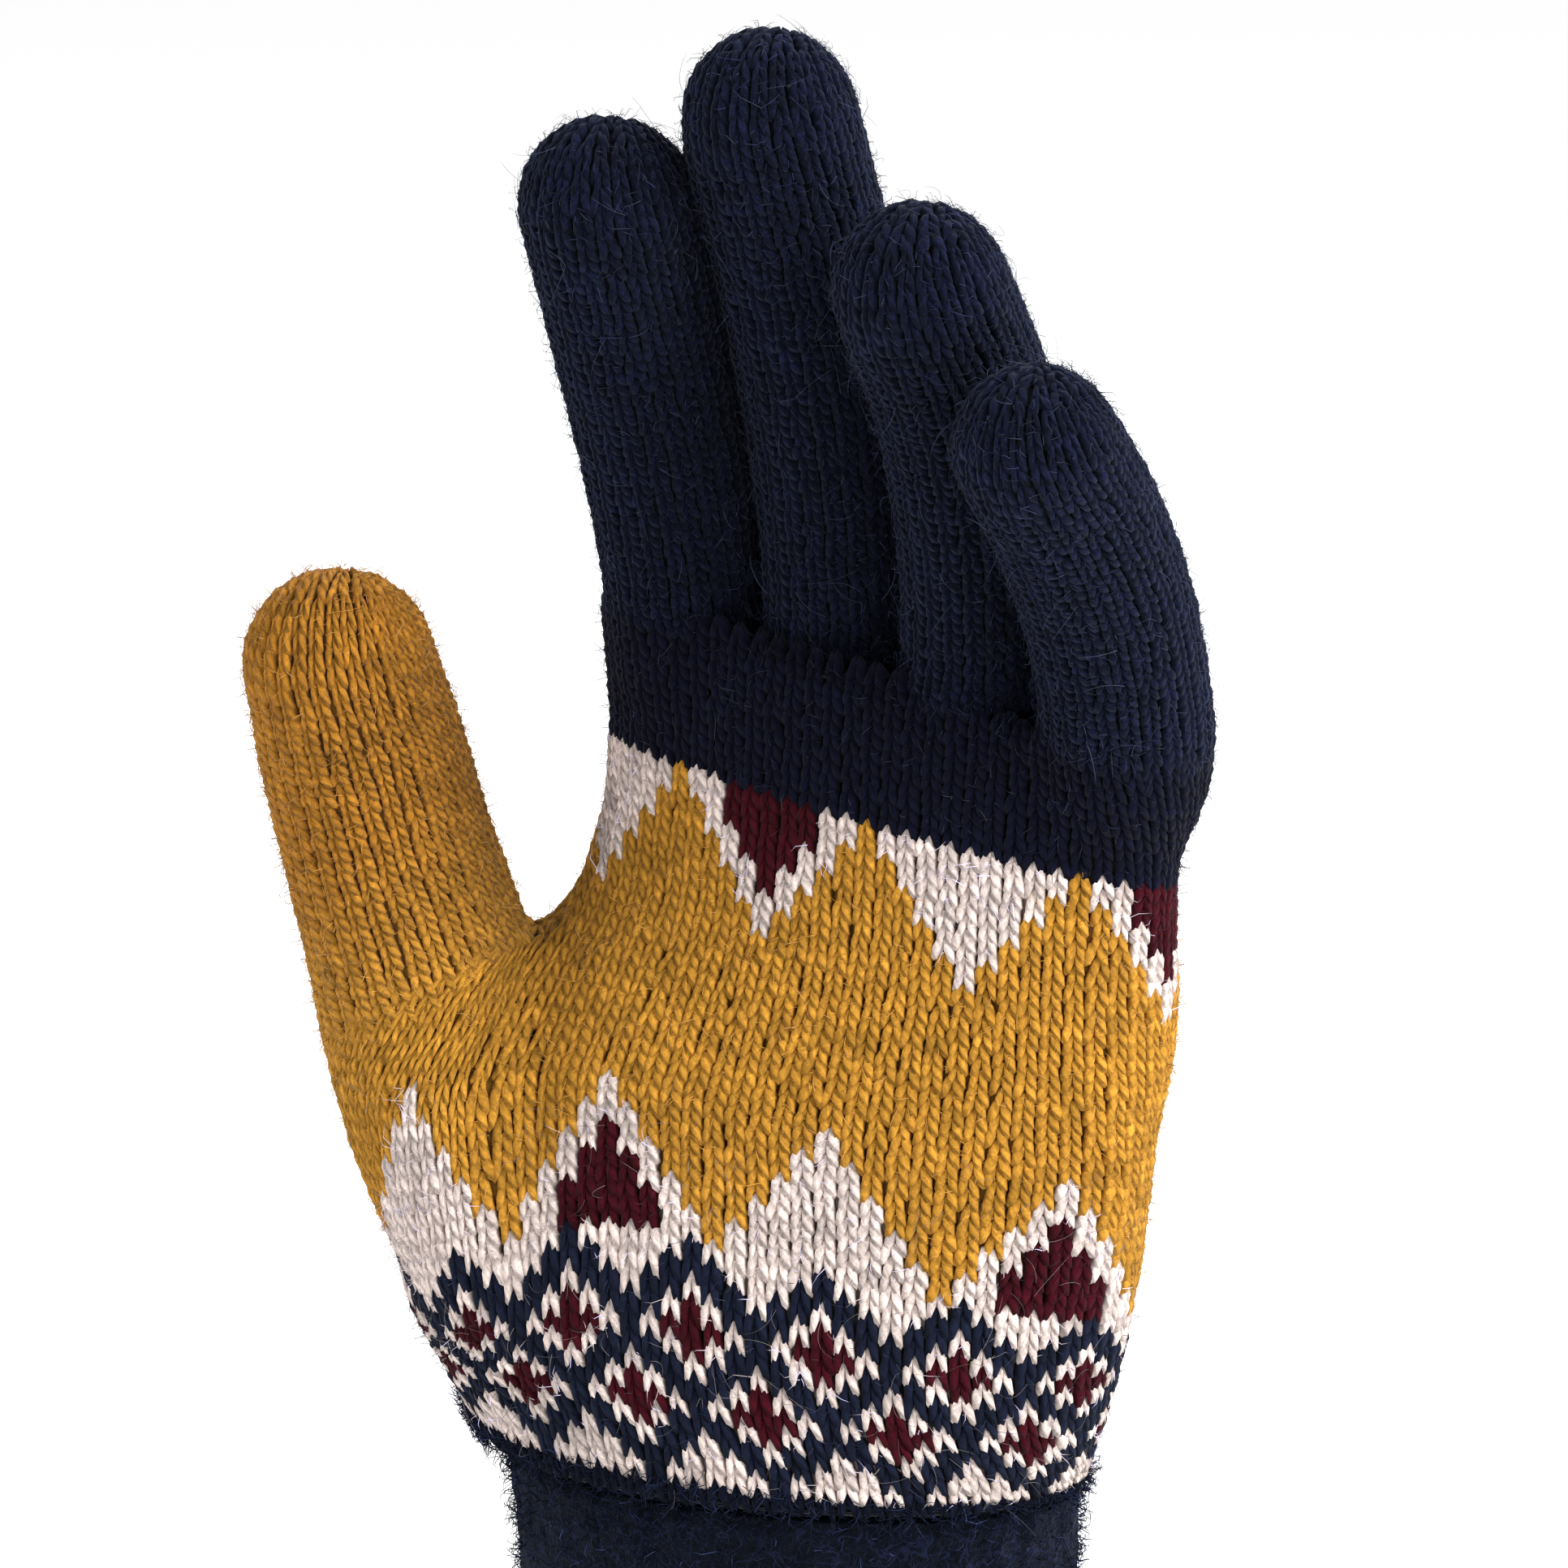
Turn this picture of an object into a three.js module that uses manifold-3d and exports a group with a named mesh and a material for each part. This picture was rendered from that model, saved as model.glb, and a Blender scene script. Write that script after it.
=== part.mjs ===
// A knitted wool glove for the left hand, five fingers and a brushed cuff, in the shape that it has on the hand.
// Millimetres. +Z runs from the hem of the cuff to the fingertips, -Y is the side of the palm and +X is the side
// of the little finger. The origin is the middle of the wrist opening, at the hem.
import * as THREE from 'three';
import { mergeVertices } from 'three/addons/utils/BufferGeometryUtils.js';
import Module from 'manifold-3d';

const wasm = await Module();
wasm.setup();

// Driving dimensions
const knitWall = 2.5;          // one layer of the hand's knitting
const cuffWall = 3.0;          // the cuff's knitting, thickened by its brushed nap
const seamGap = 0.3;           // between two pieces that meet
const cuffTop = 54;            // height of the join between cuff and hand
const fingerJoinHeight = 160;  // the join of hand and fingers, on the line x = fingerJoinMiddle
const fingerJoinMiddle = 14;
const fingerJoinTilt = 11;     // degrees that the join drops towards the little finger
const thumbJoinPoint = { x: -35, z: 126 };   // the crotch between thumb and hand
const thumbJoinTilt = 32;      // degrees that the thumb's join drops towards its outer side
const handSides = 36;          // flats round the hand and the cuff
const fingerSides = 16;        // flats round a finger or the thumb
const domeRings = 3;           // rings in the round end of a finger
const domeFan = 0.6;           // share of a ring's step that the flat fan at the very tip takes
const tangentStep = 0.05;      // share of a section's step over which a finger's direction is taken
const mergeDistance = 1e-4;    // corners closer than this are one
const farAway = 600;           // the size of the blocks that cut at a join
const boreReach = 1;           // how far the cuff's bore is cut past the hem
const nub = { x: -34.9, y: -8, z: 222.4, radius: 1.9 };   // the drawn-in last stitches beside the index fingertip

const colours = { navy: '#1d2438', mustard: '#c6933c', brushedNavy: '#27324f' };

// Turns rows of numbers into sections with named columns
function table(columns, rows) {
  return rows.map((row) => Object.fromEntries(columns.map((name, index) => [name, row[index]])));
}

// The cuff and the hand: horizontal sections. x, y, z is the middle, halfWidth runs along the knuckles, halfDepth
// from palm to back. yaw turns the little finger's side to the front, roll lowers it, cup bends both sides forward.
const tubeColumns = ['z', 'x', 'y', 'halfWidth', 'halfDepth', 'yaw', 'roll', 'cup'];

const cuffSections = table(tubeColumns, [
  [0, -0.4, 0, 39.8, 25.8, 22, 0, 0],
  [14, -0.4, 0, 39.0, 25.4, 22, 0, 0],
  [30, -0.5, 0, 38.6, 25.0, 22, 0, 0],
  [42, -0.6, 0, 39.1, 25.0, 22, 0, 0],
  [56, -1.0, 0, 40.2, 25.4, 22, 0, 0],
]);

const handSections = table(tubeColumns, [
  [50, -1.5, 0, 39.0, 24.8, 22, 0, 0],
  [55, -2.1, 0, 41.4, 25.6, 22, 0, 0],
  [63, -3.5, 0, 45.6, 25.6, 22, 0, 0],
  [72, -5.0, 0, 49.8, 25.0, 22, 0, 0.5],
  [82, -4.8, 0, 51.8, 24.4, 22, 0, 1],
  [94, -2.2, 0, 51.0, 23.6, 23, 1, 2],
  [105, 1.0, 0, 49.2, 22.6, 24, 2, 2.5],
  [115, 5.6, 0, 47.0, 21.4, 25, 3, 3],
  [125, 11.2, 0, 42.4, 20.2, 27, 5, 3.5],
  [135, 13.0, 0, 41.0, 18.8, 29, 7, 4],
  [146, 13.4, 0, 41.3, 17.2, 30, 9, 4],
  [157, 13.4, 0, 43.2, 15.6, 30, 11, 4],
  [168, 13.4, 0, 43.4, 14.4, 30, 11, 4],
]);

// The fingers: x, y, z is the middle of each section, across its width and depth, and the last one carries the tip
const fingerColumns = ['x', 'y', 'z', 'halfWidth', 'halfDepth', 'yaw'];

const fingers = {
  index_finger: {
    tip: 12,
    sections: table(fingerColumns, [
      [-10.6, 11.5, 144, 7.6, 9.0, 24],
      [-13.4, 12.0, 158, 10.3, 12.8, 24],
      [-14.6, 10.5, 171, 10.6, 12.0, 24],
      [-17.2, 6.5, 187, 11.1, 11.6, 24],
      [-20.7, 0.5, 204, 11.4, 11.4, 24],
      [-24.2, -6.5, 220.4, 11.5, 11.0, 24],
    ]),
  },
  middle_finger: {
    tip: 12.4,
    sections: table(fingerColumns, [
      [6.6, 5.0, 142, 8.6, 9.6, 28],
      [6.7, 4.6, 156, 10.3, 12.8, 28],
      [6.5, 3.6, 170, 10.6, 12.0, 28],
      [4.8, 0.6, 189, 11.0, 11.6, 28],
      [1.4, -4.6, 210, 11.4, 11.4, 28],
      [-3.6, -12.0, 231.6, 11.3, 11.2, 28],
    ]),
  },
  ring_finger: {
    tip: 12,
    sections: table(fingerColumns, [
      [23.4, -5.6, 139, 8.6, 9.6, 32],
      [24.2, -7.6, 153, 10.3, 12.6, 32],
      [24.0, -9.6, 167, 10.6, 11.8, 32],
      [22.8, -14.4, 183, 11.0, 11.4, 32],
      [20.1, -21.5, 198.8, 11.5, 11.2, 32],
      [15.0, -30.5, 212.8, 11.2, 11.0, 32],
    ]),
  },
  little_finger: {
    tip: 11.2,
    sections: table(fingerColumns, [
      [37.6, -14.6, 134, 7.0, 7.4, 36],
      [41.4, -20.0, 149, 10.0, 12.0, 36],
      [40.8, -23.6, 161.5, 10.4, 11.4, 36],
      [38.0, -29.8, 174.5, 10.8, 11.0, 36],
      [33.6, -37.4, 186.3, 10.8, 10.8, 36],
      [28.8, -45.0, 195.6, 10.6, 10.4, 36],
    ]),
  },
};

const thumb = {
  tip: 12.8,
  sections: table(fingerColumns, [
    [-24, 6.0, 62, 13.0, 14.0, 20],
    [-34.2, 7.0, 78, 15.6, 16.0, 20],
    [-40.8, 8.0, 92, 16.4, 16.0, 20],
    [-46.2, 9.0, 106, 15.8, 15.4, 20],
    [-49.8, 9.0, 120, 14.8, 14.6, 20],
    [-53.6, 8.0, 134, 14.0, 13.8, 20],
    [-56.8, 5.5, 148, 13.6, 13.2, 20],
    [-59.4, 2.0, 160, 12.6, 12.4, 20],
  ]),
};

// A smooth curve through one column of a table, at a place counted in sections
function between(rows, place) {
  const start = Math.min(Math.floor(place), rows.length - 2);
  const t = place - start;
  const near = (offset) => rows[Math.max(0, Math.min(rows.length - 1, start + offset))];
  const mixed = {};
  for (const name of Object.keys(rows[0])) {
    const [a, b, c, d] = [near(-1)[name], near(0)[name], near(1)[name], near(2)[name]];
    mixed[name] = b + 0.5 * t * (c - a + t * (2 * a - 5 * b + 4 * c - d + t * (3 * (b - c) + d - a)));
  }
  return mixed;
}

const degrees = THREE.MathUtils.degToRad;

// The points of one section of the cuff or the hand, pulled in by inset
function tubeRing(section, inset) {
  const yaw = degrees(section.yaw);
  const roll = degrees(section.roll);
  const across = new THREE.Vector3(Math.cos(yaw) * Math.cos(roll), -Math.sin(yaw) * Math.cos(roll), -Math.sin(roll));
  const forward = new THREE.Vector3(-Math.sin(yaw), -Math.cos(yaw), 0);
  const ring = [];
  for (let side = 0; side < handSides; side += 1) {
    const angle = (2 * Math.PI * side) / handSides;
    const bend = section.cup * Math.cos(angle) ** 2;
    ring.push(new THREE.Vector3(section.x, section.y, section.z)
      .addScaledVector(across, (section.halfWidth - inset) * Math.cos(angle))
      .addScaledVector(forward, (section.halfDepth - inset) * Math.sin(angle) + bend));
  }
  return ring;
}

// The rings of a finger from its root to its last section, and then the round end
function fingerRings(finger, inset) {
  const { sections } = finger;
  const middle = (place) => {
    const { x, y, z } = between(sections, place);
    return new THREE.Vector3(x, y, z);
  };
  const rings = [];
  const addRing = (place, shrink, advance) => {
    const section = between(sections, place);
    const ahead = middle(Math.min(place + tangentStep, sections.length - 1));
    const along = ahead.sub(middle(place - tangentStep)).normalize();
    const across = new THREE.Vector3(Math.cos(degrees(section.yaw)), -Math.sin(degrees(section.yaw)), 0);
    across.addScaledVector(along, -across.dot(along)).normalize();
    const forward = new THREE.Vector3().crossVectors(across, along);
    const ring = [];
    for (let side = 0; side < fingerSides; side += 1) {
      const angle = (2 * Math.PI * side) / fingerSides;
      ring.push(middle(place)
        .addScaledVector(along, advance)
        .addScaledVector(across, shrink * (section.halfWidth - inset) * Math.cos(angle))
        .addScaledVector(forward, shrink * (section.halfDepth - inset) * Math.sin(angle)));
    }
    rings.push(ring);
  };
  const last = sections.length - 1;
  for (let place = 0; place < last; place += 0.5) addRing(place, 1, 0);
  for (let ring = 0; ring <= domeRings; ring += 1) {
    const angle = (Math.PI / 2) * (ring / (domeRings + domeFan));
    addRing(last, Math.cos(angle), (finger.tip - inset) * Math.sin(angle));
  }
  return rings;
}

// A closed solid through rings of points, with a flat fan over the first and the last ring
function loft(rings) {
  const sides = rings[0].length;
  const points = rings.flat();
  const middleOf = (ring) => ring.reduce((sum, point) => sum.add(point), new THREE.Vector3()).divideScalar(sides);
  const bottom = points.push(middleOf(rings[0])) - 1;
  const top = points.push(middleOf(rings.at(-1))) - 1;
  const index = [];
  for (let side = 0; side < sides; side += 1) {
    const next = (side + 1) % sides;
    for (let ring = 0; ring < rings.length - 1; ring += 1) {
      const low = ring * sides;
      const high = low + sides;
      index.push(low + side, high + side, high + next, low + side, high + next, low + next);
    }
    const high = (rings.length - 1) * sides;
    index.push(bottom, side, next, top, high + next, high + side);
  }
  const geometry = new THREE.BufferGeometry().setFromPoints(points);
  geometry.setIndex(index);
  return geometry;
}

// A solid for joining and cutting, with its faces turned outwards
function solid(geometry) {
  const bare = geometry.clone();
  bare.deleteAttribute('normal');
  bare.deleteAttribute('uv');
  const merged = mergeVertices(bare, mergeDistance);
  const positions = merged.getAttribute('position');
  const corners = Array.from(merged.getIndex().array);
  const point = (at) => new THREE.Vector3().fromBufferAttribute(positions, at);
  let volume = 0;
  for (let at = 0; at < corners.length; at += 3) {
    volume += point(corners[at]).dot(point(corners[at + 1]).cross(point(corners[at + 2])));
  }
  if (volume < 0) corners.reverse();
  return new wasm.Manifold(new wasm.Mesh({
    numProp: 3,
    vertProperties: Float32Array.from(positions.array),
    triVerts: Uint32Array.from(corners),
  }));
}

// A large block whose one face lies on the plane through a point: the space on the side that normal points to
function halfSpace(point, normal) {
  const block = new THREE.BoxGeometry(farAway, farAway, farAway);
  block.translate(0, 0, farAway / 2);
  block.applyQuaternion(new THREE.Quaternion().setFromUnitVectors(new THREE.Vector3(0, 0, 1), normal));
  block.translate(point.x, point.y, point.z);
  return solid(block);
}

function joinPlane(x, z, tilt) {
  const normal = new THREE.Vector3(Math.sin(degrees(tilt)), 0, Math.cos(degrees(tilt)));
  const point = new THREE.Vector3(x, 0, z);
  const above = halfSpace(point.clone().addScaledVector(normal, seamGap / 2), normal);
  const below = halfSpace(point.clone().addScaledVector(normal, -seamGap / 2), normal.clone().negate());
  return { above, below };
}

function tubeSolid(sections, inset) {
  return solid(loft(sections.map((section) => tubeRing(section, inset))));
}

function mesh(name, shape, colour, roughness) {
  const { numProp, vertProperties, triVerts } = shape.getMesh();
  const geometry = new THREE.BufferGeometry();
  const positions = [];
  for (let at = 0; at < vertProperties.length; at += numProp) positions.push(...vertProperties.slice(at, at + 3));
  geometry.setAttribute('position', new THREE.Float32BufferAttribute(positions, 3));
  geometry.setIndex(Array.from(triVerts));
  geometry.computeVertexNormals();
  const material = new THREE.MeshStandardMaterial({ color: colour, roughness, metalness: 0 });
  const piece = new THREE.Mesh(geometry, material);
  piece.name = name;
  return piece;
}

const fingerJoin = joinPlane(fingerJoinMiddle, fingerJoinHeight, fingerJoinTilt);
const thumbJoin = joinPlane(thumbJoinPoint.x, thumbJoinPoint.z, -thumbJoinTilt);
const cuffJoin = joinPlane(0, cuffTop, 0);

// The whole hollow of the hand and its fingers, under a roof between the fingers
const roofLine = joinPlane(fingerJoinMiddle, fingerJoinHeight - knitWall, fingerJoinTilt).below;
let hollow = tubeSolid(handSections, knitWall).intersect(roofLine);
for (const finger of [...Object.values(fingers), thumb]) {
  hollow = hollow.add(solid(loft(fingerRings(finger, knitWall))));
}

// The hand with the roots of the fingers and the ball of the thumb
let hand = tubeSolid(handSections, 0).intersect(fingerJoin.below);
const handClearance = tubeSolid(handSections, -seamGap).intersect(fingerJoin.below);
for (const finger of Object.values(fingers)) {
  hand = hand.add(solid(loft(fingerRings(finger, 0))).intersect(fingerJoin.below));
}
hand = hand.add(solid(loft(fingerRings(thumb, 0))).intersect(thumbJoin.below));
hand = hand.intersect(cuffJoin.above).subtract(hollow);

const glove = new THREE.Group();
// The bore starts below the hem, so that it cuts right through
const [hem, ...risingSections] = cuffSections;
const cuffBore = tubeSolid([{ ...hem, z: -boreReach }, ...risingSections], cuffWall);
const cuffShape = tubeSolid(cuffSections, 0).intersect(cuffJoin.below).subtract(cuffBore);
glove.add(mesh('cuff', cuffShape, colours.brushedNavy, 0.95));
glove.add(mesh('hand', hand, colours.mustard, 0.9));
const thumbShape = solid(loft(fingerRings(thumb, 0))).intersect(thumbJoin.above);
glove.add(mesh('thumb', thumbShape.subtract(handClearance).subtract(hollow), colours.mustard, 0.9));
const nubShape = solid(new THREE.SphereGeometry(nub.radius, 8, 6).translate(nub.x, nub.y, nub.z));
for (const [name, finger] of Object.entries(fingers)) {
  let shape = solid(loft(fingerRings(finger, 0))).intersect(fingerJoin.above);
  if (name === 'index_finger') shape = shape.add(nubShape);
  glove.add(mesh(name, shape.subtract(hollow), colours.navy, 0.9));
}

export default glove;
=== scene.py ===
# %% [markdown]
# # A knitted jacquard glove
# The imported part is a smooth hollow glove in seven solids. This lesson knits over it: every stitch is a
# pair of plump legs, laid in courses on one smooth skin, and coloured from a knitting chart. Loose
# fibres, long stray hairs and a brushed cuff finish it. All lengths in tables are millimetres.

# %% Load the frame
import math

import bmesh
import bpy
import numpy as np
from mathutils import Matrix, Vector, kdtree, noise
from mathutils.bvhtree import BVHTree


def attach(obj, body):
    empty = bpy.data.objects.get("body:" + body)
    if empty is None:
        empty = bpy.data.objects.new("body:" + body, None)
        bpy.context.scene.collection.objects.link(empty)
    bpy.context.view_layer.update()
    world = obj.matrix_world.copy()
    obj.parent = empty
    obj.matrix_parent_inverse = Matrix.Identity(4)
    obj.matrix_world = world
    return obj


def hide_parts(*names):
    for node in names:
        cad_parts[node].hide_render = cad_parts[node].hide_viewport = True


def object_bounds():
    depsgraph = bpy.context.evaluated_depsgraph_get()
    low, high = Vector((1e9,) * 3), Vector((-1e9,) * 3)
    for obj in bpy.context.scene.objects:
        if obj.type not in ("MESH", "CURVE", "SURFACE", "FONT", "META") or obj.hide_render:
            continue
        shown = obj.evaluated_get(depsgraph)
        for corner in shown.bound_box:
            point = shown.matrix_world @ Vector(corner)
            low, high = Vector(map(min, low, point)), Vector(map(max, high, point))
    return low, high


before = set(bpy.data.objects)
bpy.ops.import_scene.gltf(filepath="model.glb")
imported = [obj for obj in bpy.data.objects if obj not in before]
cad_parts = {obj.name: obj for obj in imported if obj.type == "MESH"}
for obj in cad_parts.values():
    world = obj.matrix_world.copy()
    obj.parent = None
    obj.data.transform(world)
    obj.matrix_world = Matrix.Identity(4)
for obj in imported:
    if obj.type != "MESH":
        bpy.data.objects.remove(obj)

MM = 0.001
cad_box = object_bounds()
print("CAD box in mm:", [[round(v / MM, 1) for v in corner] for corner in cad_box])

# %% [markdown]
# ## The camera
# The photograph looks at the palm from a little above with a long lens, on plain white. The camera
# stands 0.9 m away at 12 degrees above level. A lens length could be guessed, but the angle of view
# follows from half the width that the picture covers at that distance.

# %% Camera
LOOK_AT = Vector((-2.0, 0.0, 144.7)) * MM
CAMERA_AWAY = 900 * MM
CAMERA_UP_DEGREES = 12
HALF_WIDTH_SEEN = 101.4 * MM


def new_object(name, data):
    """An object with the given data, linked to the scene."""
    obj = bpy.data.objects.new(name, data)
    bpy.context.scene.collection.objects.link(obj)
    return obj


def aim(obj, target):
    """Turns a camera or lamp so that it looks at the target."""
    obj.rotation_euler = (target - obj.location).to_track_quat("-Z", "Y").to_euler()


rise = math.radians(CAMERA_UP_DEGREES)
camera_data = bpy.data.cameras.new("camera")
camera_data.sensor_fit = "HORIZONTAL"
camera_data.angle = 2 * math.atan(HALF_WIDTH_SEEN / CAMERA_AWAY)
camera = new_object("camera", camera_data)
camera.location = LOOK_AT + CAMERA_AWAY * Vector((0, -math.cos(rise), math.sin(rise)))
aim(camera, LOOK_AT)
bpy.context.scene.camera = camera
print("camera at", [round(v, 3) for v in camera.location])

# %% [markdown]
# ## Helpers
# Every material here is a few nodes before the Principled shader. They could be added one by one, but a
# helper that adds a node, sets it and links it keeps a material to a few readable lines. Colours are
# written as sRGB hex values, as a colour chart gives them, and one function turns them linear.

# %% Helpers for materials and meshes


def srgb(hex_colour):
    """Turns an sRGB hex colour into the linear numbers that shaders use."""
    parts = [int(hex_colour[i : i + 2], 16) / 255 for i in (0, 2, 4)]
    return tuple(c / 12.92 if c <= 0.04045 else ((c + 0.055) / 1.055) ** 2.4 for c in parts)


def new_material(name):
    """An empty node material, with its node tree and its Principled shader."""
    material = bpy.data.materials.new(name)
    material.use_nodes = True
    return material, material.node_tree, material.node_tree.nodes["Principled BSDF"]


def add(tree, kind, settings=(), **links):
    """Adds a shader node, sets its properties, links or sets its inputs, and returns its outputs.

    An input is given by its name, with _ for a space, or by its number, as in i0.
    """
    node = tree.nodes.new("ShaderNode" + kind)
    for key, value in dict(settings).items():
        setattr(node, key, value)
    for key, value in links.items():
        index = int(key[1:]) if key[0] == "i" and key[1:].isdigit() else key.replace("_", " ")
        socket = node.inputs[index]
        if isinstance(value, bpy.types.NodeSocket):
            tree.links.new(value, socket)
        else:
            socket.default_value = value
    return node.outputs


def mesh_from(bm, name):
    """A smooth-shaded mesh from a bmesh, which is then freed."""
    mesh = bpy.data.meshes.new(name)
    bm.to_mesh(mesh)
    bm.free()
    mesh.shade_smooth()
    return mesh


# %% [markdown]
# ## The studio
# The photograph is lit softly from all round, on white. A picture of a studio could light the scene, but
# a white sky and two large soft lamps do the same with a few numbers. The stronger lamp stands in front
# to the right, so that the fingers keep dark creases between them, and pale paper takes a soft shadow.

# %% Lamps, sky and floor
FLOOR_WIDTH = 24.0
FLOOR_GAP = 1.0 * MM
SKY_STRENGTH = 1.03


def soft_lamp(name, place, size, power):
    """A square soft box that looks at the glove."""
    data = bpy.data.lights.new(name, "AREA")
    data.size = size
    data.energy = power
    lamp = new_object(name, data)
    lamp.location = place
    aim(lamp, LOOK_AT)


soft_lamp("key_light", (1.0, -0.75, 0.9), 0.6, 24)
soft_lamp("back_light", (0.3, 1.0, 0.8), 0.8, 5)

world = bpy.data.worlds.new("white_sky")
world.use_nodes = True
world.node_tree.nodes["Background"].inputs["Color"].default_value = (1, 1, 1, 1)
world.node_tree.nodes["Background"].inputs["Strength"].default_value = SKY_STRENGTH
bpy.context.scene.world = world
bpy.context.scene.view_settings.view_transform = "Standard"

floor_bm = bmesh.new()
bmesh.ops.create_grid(floor_bm, x_segments=1, y_segments=1, size=FLOOR_WIDTH / 2)
bmesh.ops.translate(floor_bm, verts=floor_bm.verts, vec=(0, 0, cad_box[0][2] - FLOOR_GAP))
floor = new_object("floor", mesh_from(floor_bm, "floor"))
# Matt backdrop paper gives an even pale ground with soft shadows.
paper, _, paper_shader = new_material("white_backdrop_paper")
paper_shader.inputs["Base Color"].default_value = (*srgb("f6f6f6"), 1)
paper_shader.inputs["Roughness"].default_value = 0.9
floor.data.materials.append(paper)

# %% [markdown]
# ## The yarn
# The yarn is two-ply carded wool: dull, slightly lighter at grazing angles because loose fibres catch
# the light, with a fine groove where the two plies wind round each other. The groove is a bump and also
# painted shade that darkens the colour in it. It is drawn along each leg's own UV map, in which u runs
# round the yarn and v along it. The colours of the stitches come from a colour attribute, because the
# jacquard changes colour from stitch to stitch.

# %% Yarn colours and the wool material
YARN = {
    "mustard": "ad7b2b",
    "cream": "ccbdb6",
    "burgundy": "360610",
    "navy": "07091a",
    "fuzzy_navy": "111627",
    "cuff_navy": "090d1c",
}
ATTRIBUTE = "yarn"
FIBRE_GRAIN = 0.72 * MM           # six fibre widths, which is as fine as the render can show
FIBRE_TONES = (0.3, 0.7, 0.85, 1.15)
FELT_TONES = (0.35, 0.65, 0.1, 1.3)
PLY_TURNS = 1.15                  # how often the plies wind round a leg
PLY_BUMP = 0.16 * MM
FELT_BUMP = 0.9 * MM
STREAKS_ROUND = 6.0
STREAKS_ALONG = 1.5
STREAK_SHIFT = 2.5 * MM           # the distance over which neighbouring legs get other streaks
HAIR_LINES = ((2.2 * MM, 0.0), (3.4 * MM, 0.3))
HAIR_LINE_WIDTH = 0.018
TIMES = {"operation": "MULTIPLY"}
TIMES_PLUS = {"operation": "MULTIPLY_ADD"}


def lying_hairs(tree, place, shade, gain):
    """Fine winding lines where a noise passes its middle value, for pale hairs that lie on the yarn."""
    for size, offset in HAIR_LINES:
        moved = add(tree, "VectorMath", {"operation": "ADD"}, i0=place, i1=(offset, 0, offset))[0]
        field = add(tree, "TexNoise", Vector=moved, Scale=1 / size, Detail=1.0, Distortion=0.8)["Fac"]
        on_line = add(tree, "Math", {"operation": "COMPARE"}, i0=field, i1=0.5, i2=HAIR_LINE_WIDTH)[0]
        shade = add(tree, "Math", TIMES_PLUS, i0=on_line, i1=gain, i2=shade)[0]
    return shade


def plied(tree, place, shade, contrast):
    """Painted shade in the grooves between the two plies, and streaks that wind with them: the new shade
    and the relief.
    """
    parts = add(tree, "SeparateXYZ", Vector=add(tree, "UVMap", {"uv_map": "ply"})["UV"])
    turns = add(tree, "Math", TIMES_PLUS, i0=parts["Y"], i1=PLY_TURNS, i2=parts["X"])[0]
    angle = add(tree, "Math", TIMES, i0=turns, i1=4 * math.pi)[0]
    wave = add(tree, "Math", {"operation": "SINE"}, i0=angle)[0]
    plies = add(tree, "MapRange", Value=wave, From_Min=-1.0, From_Max=0.4)["Result"]
    # painted shade: the colour is darkened in the grooves between the plies
    painted_groove_shade = add(tree, "MapRange", Value=plies, To_Min=0.60, To_Max=1.0)["Result"]
    shade = add(tree, "Math", TIMES, i0=shade, i1=painted_groove_shade)[0]
    round_yarn = add(tree, "Math", TIMES, i0=turns, i1=STREAKS_ROUND)[0]
    along_yarn = add(tree, "Math", TIMES, i0=parts["Y"], i1=STREAKS_ALONG)[0]
    winding = add(tree, "CombineXYZ", X=round_yarn, Y=along_yarn)[0]
    moved = add(tree, "VectorMath", TIMES_PLUS, i0=place, i1=(1 / STREAK_SHIFT,) * 3, i2=winding)[0]
    streaks = add(tree, "TexNoise", Vector=moved, Scale=1.0, Detail=2.0, Roughness=0.6)["Fac"]
    streak_shade = add(tree, "MapRange", Value=streaks, From_Min=0.32, From_Max=0.68,
                       To_Min=1 - contrast, To_Max=1 + contrast)["Result"]
    shade = add(tree, "Math", TIMES, i0=shade, i1=streak_shade)[0]
    relief = add(tree, "Math", TIMES_PLUS, i0=streaks, i1=0.5, i2=plies)[0]
    return lying_hairs(tree, place, shade, contrast), relief


def wool(name, sheen, twisted=True, tint=(1, 1, 1), contrast=0.2, felted=False):
    """Carded wool: dull and mottled, with a sheen that gives the pale edge of loose fibres.

    twisted adds plies, streaks and lying hairs, and contrast says how much these differ from the yarn's
    colour. felted draws strong mottling and hairs alone, for cloth that is brushed until no yarn shows.
    """
    material, tree, shader = new_material(name)
    colour = add(tree, "Attribute", {"attribute_name": ATTRIBUTE})["Color"]
    place = add(tree, "TexCoord")["Object"]
    relief = add(tree, "TexNoise", Vector=place, Scale=1 / FIBRE_GRAIN, Detail=3.0, Roughness=0.7)["Fac"]
    low, high, dark, light = FELT_TONES if felted else FIBRE_TONES
    shade = add(tree, "MapRange", Value=relief, From_Min=low, From_Max=high, To_Min=dark,
                To_Max=light)["Result"]
    if twisted:
        shade, relief = plied(tree, place, shade, contrast)
    if felted:
        shade = lying_hairs(tree, place, shade, contrast)
    toned = add(tree, "VectorMath", {"operation": "SCALE"}, i0=colour, Scale=shade)[0]
    tree.links.new(toned, shader.inputs["Base Color"])
    deep = FELT_BUMP if felted else PLY_BUMP
    bump = add(tree, "Bump", Height=relief, Distance=deep, Strength=0.8)["Normal"]
    tree.links.new(bump, shader.inputs["Normal"])
    for key, value in (("Roughness", 0.92), ("Specular IOR Level", 0.06), ("Sheen Weight", sheen),
                       ("Sheen Roughness", 0.6), ("Sheen Tint", (*tint, 1))):
        shader.inputs[key].default_value = value
    return material


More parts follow.
